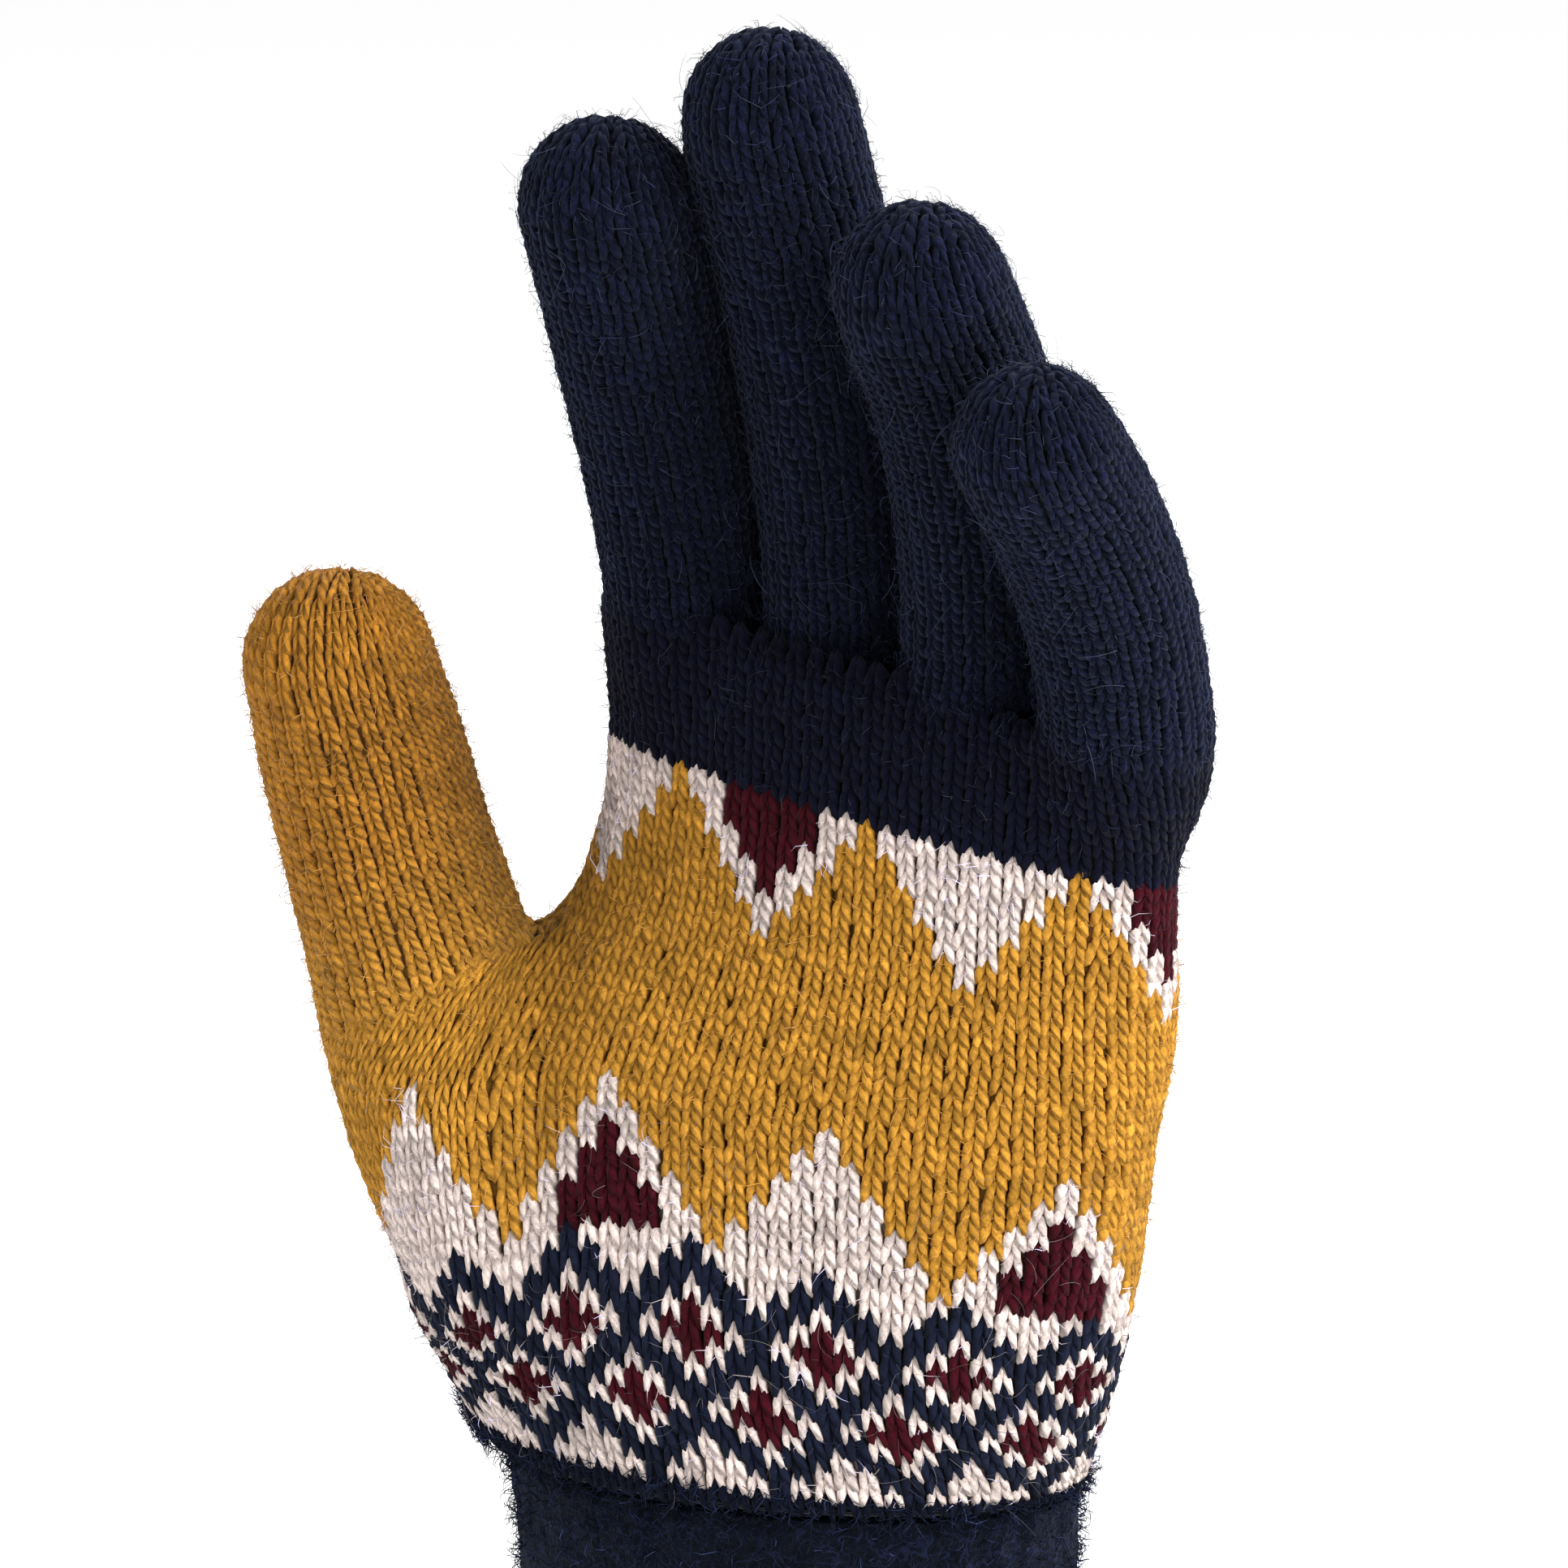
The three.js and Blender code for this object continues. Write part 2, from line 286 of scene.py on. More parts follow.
# Navy wool shows its streaks most and has a bluish edge. The brushed wool shows no plies at all.
BLUE_EDGE = (0.55, 0.68, 1.0)
jacquard_wool = wool("carded_wool_jacquard_knit", 0.02)
mustard_wool = wool("carded_wool_mustard_knit", 0.05)
navy_wool = wool("carded_wool_navy_knit", 0.05, tint=BLUE_EDGE, contrast=0.85)
brushed_wool = wool("brushed_wool_nap", 0.03, twisted=False, tint=BLUE_EDGE)
felted_wool = wool("brushed_wool_ground", 0.05, twisted=False, tint=BLUE_EDGE, contrast=2.2, felted=True)
print("materials:", [m.name for m in bpy.data.materials])

# %% [markdown]
# ## One stitch
# The glove is knitted from the fingertips down, so on the worn glove each stitch stands on its head:
# two legs meet at the top and spread downwards. A leg could be a bent tube, but at this size a stretched
# ball reads the same with a third of the faces. The template's x counts wales, y counts courses and z is
# the height above the cloth in metres. Each wale is crowned, so that it stands out as a rib.

# %% The stitch template
# Widths and places count wales, lengths count courses, and depths are real.
LEG_SIDES = 5
LEG_RINGS = 4
LEG_HALF_WIDTH = 0.25
LEG_HALF_LENGTH = 1.05
LEG_HALF_DEPTH = 0.85 * MM
LEG_PLACE = 0.215
LEG_LEAN = 0.15
LEG_TUCK = 0.14 * MM
LEG_SLOPE = 0.18 * MM
WALE_CROWN = 0.45 * MM
FACE_ORDER = Vector((1.0, 0.37, 0.113))


def leg_shape(bm, side):
    """One leg: a ball stretched along the course, leaning, with its top tucked in."""
    verts = bmesh.ops.create_uvsphere(bm, u_segments=LEG_SIDES, v_segments=LEG_RINGS, radius=1,
                                      calc_uvs=True)["verts"]
    bmesh.ops.transform(bm, matrix=Matrix.Rotation(math.radians(-90), 4, "X"), verts=verts)
    bmesh.ops.scale(bm, vec=(LEG_HALF_WIDTH, LEG_HALF_LENGTH, LEG_HALF_DEPTH), verts=verts)
    for v in verts:
        along = v.co.y / LEG_HALF_LENGTH
        v.co.x += side * (LEG_PLACE - LEG_LEAN * along)
        v.co.z -= LEG_TUCK * along ** 2 + LEG_SLOPE * along + WALE_CROWN * (v.co.x / 0.5) ** 2


def stitch_template():
    """The two legs of a stitch in one mesh, with a UV map round and along the yarn."""
    bm = bmesh.new()
    bm.loops.layers.uv.new("ply")
    for side in (-1, 1):
        leg_shape(bm, side)
    bmesh.ops.recalc_face_normals(bm, faces=bm.faces)
    # The ball's faces come in another order on each run, so they are sorted along one direction.
    bm.faces.sort(key=lambda f: f.calc_center_median().dot(FACE_ORDER))
    return mesh_from(bm, "stitch")


stitch = stitch_template()
stitch_points = np.array([v.co[:] for v in stitch.vertices])
print("a stitch has", len(stitch.polygons), "faces")
on_left_leg = np.arange(len(stitch_points)) < len(stitch_points) // 2

# %% [markdown]
# ## Many copies of one shape
# A glove has some ten thousand stitches, all alike. Each could be an object of its own, but that is slow.
# Instead an Array modifier lays all copies of a piece on one spot, in order, and their vertices are then
# moved into place together. Last, the piece gets its colours, its material and its body.

# %% Copies, colours and finished pieces


def copies(template, count, name):
    """An Array modifier lays count copies of the template on one spot, in order, to be moved into place."""
    obj = new_object(name, template)
    array = obj.modifiers.new("copies", "ARRAY")
    array.count = count
    array.use_relative_offset = False
    array.use_constant_offset = True
    array.constant_offset_displace = (0, 0, 0)
    graph = bpy.context.evaluated_depsgraph_get()
    mesh = bpy.data.meshes.new_from_object(obj.evaluated_get(graph))
    obj.modifiers.clear()
    obj.data = mesh
    mesh.name = name
    return obj


def colour_points(mesh, colours):
    """Writes one colour a vertex into the attribute that the wool reads."""
    rgba = np.ones((len(colours), 4), np.float32)
    rgba[:, :3] = colours
    layer = mesh.color_attributes.new(name=ATTRIBUTE, type="FLOAT_COLOR", domain="POINT")
    layer.data.foreach_set("color", rgba.ravel())


def place_copies(obj, points, colours):
    """Moves the copies' vertices to the points (copy, vertex, xyz) and colours each copy."""
    obj.data.vertices.foreach_set("co", points.astype(np.float32).ravel())
    colour_points(obj.data, np.repeat(colours, points.shape[1], axis=0))
    obj.data.update()


def dress(obj, material, node=None):
    """Finishes a piece: its material, its body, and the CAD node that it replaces."""
    obj.data.materials.clear()
    obj.data.materials.append(material)
    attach(obj, "root")
    if node:
        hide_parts(node)
    print(obj.name, sum(len(p.vertices) - 2 for p in obj.data.polygons), "triangles")


# %% [markdown]
# ## A cloth is a grid
# Each surface to be knitted is turned into a cloth: a grid of points and normals, one line for each half
# course and one column for each edge between wales. A stitch is then put at a course and a slot between
# two edges, and bends with the cloth.

# %% The cloth
HALF = 0.5
rng = np.random.default_rng(20)


class Cloth:
    """Points and normals on a grid of half courses and wale edges, which closes on itself sideways."""

    def __init__(self, first_row, points, tangents=None):
        self.first_row = first_row
        self.points = points
        self.tangents = tangents
        down = np.gradient(points, axis=0)
        if tangents is None:
            tangents = np.roll(points[:, :-1], -1, axis=1) - np.roll(points[:, :-1], 1, axis=1)
            tangents = np.concatenate([tangents, tangents[:, :1]], axis=1)
        normals = np.cross(tangents, down)
        self.normals = normals / np.maximum(np.linalg.norm(normals, axis=2, keepdims=True), 1e-12)

    def at(self, row, slot):
        """The point and the normal at a course and a place across the wales."""
        line = np.clip((row - self.first_row) / HALF, 0, len(self.points) - 1.001)
        wales = self.points.shape[1] - 1
        slot = np.mod(slot, wales)
        low, left = np.floor(line).astype(int), np.floor(slot).astype(int)
        up, right = (line - low)[..., None], (slot - left)[..., None]
        result = []
        for grid in (self.points, self.normals):
            below = grid[low, left] * (1 - right) + grid[low, left + 1] * right
            above = grid[low + 1, left] * (1 - right) + grid[low + 1, left + 1] * right
            result.append(below * (1 - up) + above * up)
        return result


# %% [markdown]
# ## Laying the stitches
# Real stitches differ a little in size, place and dye, and look darker where the cloth folds in. So each
# stitch takes small random steps, and lines sent out from it count how much open sky it sees. The
# render's own shadows do part of that, and the counted shade makes the creases as deep as real ones.

# %% Knitting a cloth
STITCH_DEPTH = -0.52 * MM
SHADE_SPREAD = 0.10
PLACE_SPREAD = 0.045
PLUMP_SPREAD = 0.09
DEEPEST = 0.25                    # the shade of a stitch that sees no sky
OPEN_ENOUGH = 0.85                # the share of open sky from which a stitch has its full colour
SKY_RAYS = 44
RAY_START = 0.8 * MM
LOWEST_RAY = 0.1
knitted = {}


def sky_directions():
    """Directions spread evenly over a ball, along a golden spiral."""
    k = np.arange(SKY_RAYS)
    up = 1 - 2 * (k + 0.5) / SKY_RAYS
    turn = k * math.pi * (3 - math.sqrt(5))
    flat = np.sqrt(1 - up ** 2)
    return [Vector(d) for d in np.stack([flat * np.cos(turn), flat * np.sin(turn), up], axis=1)]


DIRECTIONS = sky_directions()


def openness(spots, normals):
    """From 0 in a deep fold to 1 in the open: the share of straight lines that leave the glove."""
    shares = []
    for spot, normal in zip(spots, normals):
        start, facing = Vector(spot + normal * RAY_START), Vector(normal)
        ahead = [d for d in DIRECTIONS if d.dot(facing) > LOWEST_RAY]
        shares.append(sum(skin_tree.ray_cast(start, d)[0] is None for d in ahead) / len(ahead))
    return np.array(shares)


def knit(name, cloth, rows, slots, widths, colours, material, slot_name, left_leg_drop=0.0, tint=1.0,
         limits=None):
    """Lays a stitch at each row and slot. widths are in slots, colours are yarn names.

    left_leg_drop sinks the left legs, tint darkens the colours as painted shade, and limits keep stitches
    in their slots.
    """
    count = len(rows)
    obj = copies(stitch, count, name)
    local = np.repeat(stitch_points[None], count, axis=0)
    shift = rng.normal(0, PLACE_SPREAD, (count, 1, 2))
    plump = rng.normal(1, PLUMP_SPREAD, (count, 1))
    row = rows[:, None] + local[:, :, 1] + shift[:, :, 1]
    across = slots[:, None] + (local[:, :, 0] * plump + shift[:, :, 0]) * widths[:, None]
    if limits is not None:
        across = np.clip(across, limits[0][:, None], limits[1][:, None])
    point, normal = cloth.at(row, across)
    height = local[:, :, 2] * plump + STITCH_DEPTH - left_leg_drop * on_left_leg
    tone = rng.normal(1, SHADE_SPREAD, (count, 1))
    linear = {key: np.array(srgb(value)) for key, value in YARN.items()}
    spots, outward = cloth.at(rows, slots)
    depth_shade = DEEPEST + (1 - DEEPEST) * np.clip(openness(spots, outward) / OPEN_ENOUGH, 0, 1)
    shade = np.array([linear[c] for c in colours]) * tone * depth_shade[:, None] * tint
    place_copies(obj, point + normal * height[..., None], shade)
    dress(obj, material)
    knitted[name] = (spots, outward, shade)


# %% [markdown]
# ## One smooth skin
# The seven solids meet at cut faces with small steps and gaps, but a knitted glove is one cloth. So the
# solids are swollen a little until they touch, fused by a voxel remesh and smoothed. The result isn't
# shown: it is the skin that the courses of the hand, and the roots of the fingers, are laid on.

# %% Copies of the solids


def merged_copy(node, cuts):
    """A bmesh copy of a CAD node with its loose triangles merged and its edges cut finer."""
    bm = bmesh.new()
    bm.from_mesh(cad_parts[node].data)
    bmesh.ops.remove_doubles(bm, verts=bm.verts, dist=0.002 * MM)
    bmesh.ops.triangulate(bm, faces=bm.faces)
    if cuts:
        bmesh.ops.subdivide_edges(bm, edges=bm.edges, cuts=cuts, use_grid_fill=True)
        bmesh.ops.triangulate(bm, faces=bm.faces)
    bm.normal_update()
    return bm


# %% The fused skin
SWELL = 0.42 * MM
VOXEL = 1.25 * MM
SKIN_SMOOTHING = 12


def fused_skin():
    """The glove's solids as one smooth triangulated bmesh."""
    together = bmesh.new()
    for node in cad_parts:
        bm = merged_copy(node, 0)
        for v in bm.verts:
            v.co += v.normal * SWELL
        mesh = mesh_from(bm, "swollen")
        together.from_mesh(mesh)
        bpy.data.meshes.remove(mesh)
    mesh = mesh_from(together, "fused")
    obj = new_object("fused", mesh)
    remesh = obj.modifiers.new("remesh", "REMESH")
    remesh.mode = "VOXEL"
    remesh.voxel_size = VOXEL
    smooth = obj.modifiers.new("smooth", "SMOOTH")
    smooth.factor = 0.5
    smooth.iterations = SKIN_SMOOTHING
    skin = bmesh.new()
    skin.from_object(obj, bpy.context.evaluated_depsgraph_get())
    bmesh.ops.triangulate(skin, faces=skin.faces)
    bpy.data.objects.remove(obj)
    bpy.data.meshes.remove(mesh)
    skin.verts.index_update()
    return skin


skin_bm = fused_skin()
skin_points = np.array([v.co[:] for v in skin_bm.verts])
skin_bm.normal_update()
skin_normals = np.array([v.normal[:] for v in skin_bm.verts])
skin_triangles = np.array([[v.index for v in f.verts] for f in skin_bm.faces])
skin_tree = BVHTree.FromBMesh(skin_bm)
skin_bm.free()
print("fused skin:", len(skin_points), "points,", len(skin_triangles), "triangles")

# %% [markdown]
# ## Fingers and thumb
# A knitted finger is a round tube closed by narrowing. Its cloth follows the same section table as the
# solid under it: a centre, half a width, half a depth and a turn for each section. Past the last section
# the rounds tip backwards as they shrink, so that the palm's wales run over the fingertip and the tip is
# closed on its far side, and the wales are knitted together two by two as the round gets small.

# %% Section tables of the tubes
# The columns are x, y, z of the centre, half width, half depth and turn in degrees. The number before
# each table is the height of the rounded tip.
TUBES = {
    "index_finger": (12.0, (
        (-10.6, 11.5, 144, 7.6, 9.0, 24),
        (-13.4, 12.0, 158, 10.3, 12.8, 24),
        (-14.6, 10.5, 171, 10.6, 12.0, 24),
        (-17.2, 6.5, 187, 11.1, 11.6, 24),
        (-20.7, 0.5, 204, 11.4, 11.4, 24),
        (-24.2, -6.5, 220.4, 11.5, 11.0, 24))),
    "middle_finger": (12.4, (
        (6.6, 5.0, 142, 8.6, 9.6, 28),
        (6.7, 4.6, 156, 10.3, 12.8, 28),
        (6.5, 3.6, 170, 10.6, 12.0, 28),
        (4.8, 0.6, 189, 11.0, 11.6, 28),
        (1.4, -4.6, 210, 11.4, 11.4, 28),
        (-3.6, -12.0, 231.6, 11.3, 11.2, 28))),
    "ring_finger": (12.0, (
        (23.4, -5.6, 139, 8.6, 9.6, 32),
        (24.2, -7.6, 153, 10.3, 12.6, 32),
        (24.0, -9.6, 167, 10.6, 11.8, 32),
        (22.8, -14.4, 183, 11.0, 11.4, 32),
        (20.1, -21.5, 198.8, 11.5, 11.2, 32),
        (15.0, -30.5, 212.8, 11.2, 11.0, 32))),
    "little_finger": (11.2, (
        (37.6, -14.6, 134, 7.0, 7.4, 36),
        (41.4, -20.0, 149, 10.0, 12.0, 36),
        (40.8, -23.6, 161.5, 10.4, 11.4, 36),
        (38.0, -29.8, 174.5, 10.8, 11.0, 36),
        (33.6, -37.4, 186.3, 10.8, 10.8, 36),
        (28.8, -45.0, 195.6, 10.6, 10.4, 36))),
    "thumb": (12.8, (
        (-40.8, 8.0, 92, 16.4, 16.0, 20),
        (-46.2, 9.0, 106, 15.8, 15.4, 20),
        (-49.8, 9.0, 120, 14.8, 14.6, 20),
        (-53.6, 8.0, 134, 14.0, 13.8, 20),
        (-56.8, 5.5, 148, 13.6, 13.2, 20),
        (-59.4, 2.0, 160, 12.6, 12.4, 20))),
}
FINGER_WALES = 24
THUMB_WALES = 30
FINGER_COURSE = 1.55
THUMB_COURSE = 1.66
NARROW_ONCE = 0.68
NARROW_TWICE = 0.36
TIP_LEFT_OPEN = 0.06
TIP_BACKWARDS = math.radians(46)
TUBE_SAMPLES = 240


def between(table, t):
    """A smooth Catmull-Rom curve through the rows of a table, at a row number with a fraction."""
    table = np.asarray(table, float)
    i = int(min(max(math.floor(t), 0), len(table) - 2))
    f = t - i
    before = table[i - 1] if i > 0 else 2 * table[i] - table[i + 1]
    after = table[i + 2] if i + 2 < len(table) else 2 * table[i + 1] - table[i]
    a, b = table[i], table[i + 1]
    bend = 2 * before - 5 * a + 4 * b - after
    return a + 0.5 * f * (b - before + f * (bend + f * (3 * (a - b) + after - before)))


def tube_cloth(table, tip, wales, course, first_angle):
    """The cloth of a closed tube, and how much of the full round is left at each half course."""
    steps = np.linspace(0, len(table) - 1, TUBE_SAMPLES)
    samples = np.array([between(table, t) for t in steps])
    lengths = np.concatenate([[0], np.cumsum(np.linalg.norm(np.diff(samples[:, :3], axis=0), axis=1))])
    dome_arc = (tip + table[-1][3]) / 2 * math.pi / 2
    half_courses = int((lengths[-1] + dome_arc) / (course * HALF))
    angles = first_angle - 2 * math.pi * np.arange(wales + 1) / wales
    lines, rounds = [], []
    for k in range(half_courses + 1):
        far = k * course * HALF
        turn = min(max(far - lengths[-1], 0) / dome_arc, 1) * math.pi / 2
        here = min(far, lengths[-1])
        x, y, z, width, depth, yaw = [np.interp(here, lengths, samples[:, c]) for c in range(6)]
        ahead = [np.interp(min(far + 1, lengths[-1]), lengths, samples[:, c]) for c in range(3)]
        behind = [np.interp(here - 1, lengths, samples[:, c]) for c in range(3)]
        along = np.array(ahead) - np.array(behind)
        along /= np.linalg.norm(along)
        across = np.array([math.cos(math.radians(yaw)), -math.sin(math.radians(yaw)), 0])
        across -= along * across.dot(along)
        across /= np.linalg.norm(across)
        forward = np.cross(across, along)
        back = TIP_BACKWARDS * turn / (math.pi / 2)
        left, gone = math.cos(turn), math.sin(turn)
        sideways_part = left * np.cos(angles)
        forward_part = left * np.sin(angles) * math.cos(back) - gone * math.sin(back)
        upward_part = left * np.sin(angles) * math.sin(back) + gone * math.cos(back)
        parts = np.stack([sideways_part * width, forward_part * depth, upward_part * tip], axis=1)
        lines.append(np.array([x, y, z]) + parts @ np.stack([across, forward, along]))
        rounds.append(left)
    return Cloth(0, np.array(lines) * MM), np.array(rounds)


index_tip, index_table = TUBES["index_finger"]
index_cloth = tube_cloth(index_table, index_tip, FINGER_WALES, FINGER_COURSE, 0)[0]
print("index cloth grid", index_cloth.points.shape)

# %% [markdown]
# The tubes start inside the hand, so stitches below the plane where the solids join are left out. The
# planes are the slanted joins of the solids: one under the four fingers and one under the thumb. Just
# above a join the cloth is pulled onto the fused skin, so that no step shows, and a stitch that would lie
# inside the next finger is left out too. Higher up, the fingers are pressed towards each other, and
# painted shade darkens the thumb's colour more the further it is above its join.

# %% Knit the tubes
FINGER_JOIN = (np.array([14.0, 0.0, 160.0]) * MM, math.radians(11))
THUMB_JOIN = (np.array([-35.0, 0.0, 126.0]) * MM, math.radians(-32))
PULL_FULL = 5 * MM
PULL_END = 15 * MM
PULL_REACH = 2.2 * MM
PULL_FACING = 0.3                 # the least cosine between the cloth's normal and the skin's
INSIDE_BY = 1.8 * MM
FINGER_STITCH_WIDTH = 1.04
OVERLAP = 1.1 * MM
# painted shade on the thumb: how much darker its colour gets, and the height above its join where that is
# reached
THUMB_PAINTED_SHADE = (0.79, 0.71, 0.60)
THUMB_SHADE_RISE = 22 * MM
PRESS = 0.75 * MM
PRESS_REACH = 3.2 * MM
PRESS_FROM = 9 * MM
OUTSIDE_SAMPLES = 60
THUMB_LEFT_DROP = 0.28 * MM
BACK_OF_FINGER = -math.pi / 2
PALM_SIDE_OF_THUMB = 0.0
FINGERS = ("index_finger", "middle_finger", "ring_finger", "little_finger")


def above_join(points, join):
    """How far points stand above a slanted join plane, in metres."""
    corner, tilt = join
    normal = np.array([math.sin(tilt), 0, math.cos(tilt)])
    return (points - corner) @ normal


def tube_stitches(rounds, wales):
    """Rows, slots and widths of a tube's stitches, narrowed towards the tip."""
    rows, slots, widths = [], [], []
    for row in range(1, int((len(rounds) - 1) * HALF)):
        left = rounds[int(row / HALF)]
        merge = 1 if left > NARROW_ONCE else 2 if left > NARROW_TWICE else 4
        if left < TIP_LEFT_OPEN:
            break
        for slot in range(0, wales - merge + 1, merge):
            rows.append(row)
            slots.append(slot + merge / 2)
            widths.append(merge * FINGER_STITCH_WIDTH)
    return np.array(rows, float), np.array(slots), np.array(widths, float)


def pulled_to_skin(cloth, pull):
    """Moves the cloth's points to the nearest point of the fused skin, by the shares given in pull."""
    shift = np.zeros_like(cloth.points)
    for i, j in np.argwhere(pull > 0):
        point, normal = Vector(cloth.points[i, j]), Vector(cloth.normals[i, j])
        hit, facing, _, _ = skin_tree.find_nearest(point, PULL_REACH)
        if hit is not None and facing.dot(normal) > PULL_FACING:
            shift[i, j] = pull[i, j] * np.array(hit - point)
    ring = shift[:, :-1]
    for _ in range(2):
        ring = 0.5 * ring + 0.25 * (np.roll(ring, 1, axis=1) + np.roll(ring, -1, axis=1))
    shift = np.concatenate([ring, ring[:, :1]], axis=1)
    return Cloth(cloth.first_row, cloth.points + shift, cloth.tangents)


def onto_skin(cloth, join):
    """Pulls the cloth near a join onto the fused skin, and fades the pull out further up."""
    height = above_join(cloth.points, join)
    return pulled_to_skin(cloth, np.clip((PULL_END - height) / (PULL_END - PULL_FULL), 0, 1))


def outside_tube(points, node):
    """How far points lie outside a tube of the table, in metres."""
    table = TUBES[node][1]
    samples = np.array([between(table, t) for t in np.linspace(0, len(table) - 1, OUTSIDE_SAMPLES)])
    offsets = points[:, None] / MM - samples[None, :, :3]
    away = np.linalg.norm(offsets, axis=2)
    nearest = away.argmin(axis=1)
    return (away[np.arange(len(points)), nearest] - samples[nearest, 3:5].mean(axis=1)) * MM


def pressed(cloth, join, neighbours):
    """Plumps the cloth out where it nearly touches a neighbour, so that no light shows between them."""
    flat = cloth.points.reshape(-1, 3)
    rise_in = np.clip(above_join(flat, join) / PRESS_FROM - 1, 0, 1)
    out = np.zeros(len(flat))
    for neighbour in neighbours:
        out = np.maximum(out, PRESS * np.clip(1 - outside_tube(flat, neighbour) / PRESS_REACH, 0, 1))
    moved = flat + cloth.normals.reshape(-1, 3) * (out * rise_in)[:, None]
    return Cloth(cloth.first_row, moved.reshape(cloth.points.shape))


def knit_tube(node, wales, course, first_angle, join, neighbours, colour, material, slot_name, drop=0.0):
    """Knits one finger or the thumb over its CAD node."""
    tip, table = TUBES[node]
    cloth, rounds = tube_cloth(table, tip, wales, course, first_angle)
    cloth = pressed(onto_skin(cloth, join), join, neighbours)
    rows, slots, widths = tube_stitches(rounds, wales)
    spots = cloth.at(rows, slots)[0]
    keep = above_join(spots, join) > -OVERLAP
    for neighbour in neighbours:
        keep &= outside_tube(spots, neighbour) > -INSIDE_BY
    names = [colour] * int(keep.sum())
    # painted shade: the thumb's colour is darkened more the further it stands above its join
    far_up = np.clip(above_join(spots[keep], join) / THUMB_SHADE_RISE, 0, 1)[:, None]
    tint = 1 + (np.array(THUMB_PAINTED_SHADE) - 1) * far_up if node == "thumb" else 1.0
    knit(node + "_knit", cloth, rows[keep], slots[keep], widths[keep], names, material, slot_name, drop,
         tint)


for i, finger in enumerate(FINGERS):
    beside = [FINGERS[k] for k in (i - 1, i + 1) if 0 <= k < len(FINGERS)]
    knit_tube(finger, FINGER_WALES, FINGER_COURSE, BACK_OF_FINGER, FINGER_JOIN, beside, "navy", navy_wool,
              "navy_wool")
knit_tube("thumb", THUMB_WALES, THUMB_COURSE, PALM_SIDE_OF_THUMB, THUMB_JOIN, [], "mustard", mustard_wool,
          "mustard_wool", THUMB_LEFT_DROP)

# %% [markdown]
# ## The lines of the courses on the hand
# On the worn hand the courses are not level: they slope down towards the little finger, and dip round
# the thumb's root. A table gives the height at x = 0, the slope and the dip of some courses, and every
# point of the skin then has a course number. A course is the closed line where that number is whole,
# found by slicing the skin.

# %% Course numbers on the hand
# The columns are course, height at x = 0, slope to the right, and dip to the left of the thumb's side.
COURSE_LINES = np.array((
    (-3, 54.1, 0.00, 0.00), (-1, 58.1, -0.06, 0.04), (0, 60.3, -0.07, 0.10), (3, 66.9, -0.10, 0.25),
    (7, 76.4, -0.13, 0.55), (11, 86.6, -0.19, 0.62), (21, 104.6, -0.18, 0.35), (30, 119.8, -0.175, 0.22),
    (35, 128.0, -0.17, 0.05), (45, 145.8, -0.18, 0.00), (58, 167.0, -0.185, 0.00)))
DIP_START = -25.0
DIP_SOFTNESS = 4.0
FIRST_COURSE = -2
LAST_COURSE = 56
NUMBERED_COURSES = np.arange(COURSE_LINES[0, 0], COURSE_LINES[-1, 0] + 0.5, 0.5)


def course_height(course, x):
    """The height in mm of a course where the hand has the given x in mm."""
    level, slope, dip = (np.interp(course, COURSE_LINES[:, 0], COURSE_LINES[:, c]) for c in (1, 2, 3))
    past = DIP_SOFTNESS * np.logaddexp(0, (DIP_START - x) / DIP_SOFTNESS)
    return level + slope * x - dip * past


def course_numbers(points):
    """The course number, with a fraction, of each point in metres."""
    x, z = points[:, 0] / MM, points[:, 2] / MM
    heights = np.array([course_height(c, x) for c in NUMBERED_COURSES])
    return np.array([np.interp(z[i], heights[:, i], NUMBERED_COURSES) for i in range(len(x))])


skin_courses = course_numbers(skin_points)
print("courses on the skin", skin_courses.min().round(1), "to", skin_courses.max().round(1))

# %% [markdown]
# ## Slices
# A course runs once round the hand, so it is one closed line on the skin. It could be set out by hand as
# a ring of points, but cutting each triangle where its course number passes the wanted value finds the
# line exactly. It is then resampled at even steps and blurred a little, so that the wales run smoothly.

# %% Slices of the hand
LOOP_SAMPLES = 900
LOOP_BLUR = 1.6
BESIDE_COURSE = 0.003             # a slice runs this far past a whole course, clear of the skin's points


def slice_loop(level):
    """The outer closed line of the hand at a course number, turning counterclockwise seen from above."""
    above = skin_courses > level
    mixed = skin_triangles[~np.isin(above[skin_triangles].sum(axis=1), (0, 3))]
    links = {}
    for corners in mixed.tolist():
        pairs = zip(corners, corners[1:] + corners[:1])
        first, second = [tuple(sorted(pair)) for pair in pairs if above[pair[0]] != above[pair[1]]]
        links.setdefault(first, []).append(second)
        links.setdefault(second, []).append(first)
    waiting = dict.fromkeys(links)
    best, best_area = None, 0
    while waiting:
        edge = next(iter(waiting))
        chain = []
        while edge is not None:
            waiting.pop(edge)
            chain.append(edge)
            edge = next((e for e in links[edge] if e in waiting), None)
        ends = np.array(chain)
        low, high = skin_courses[ends[:, 0]], skin_courses[ends[:, 1]]
        part = ((level - low) / (high - low))[:, None]
        line = skin_points[ends[:, 0]] * (1 - part) + skin_points[ends[:, 1]] * part
        x, y = line[:, 0], line[:, 1]
        area = 0.5 * np.sum(x * np.roll(y, -1) - y * np.roll(x, -1))
        if abs(area) > abs(best_area):
            best, best_area = line, area
    return best if best_area > 0 else best[::-1]


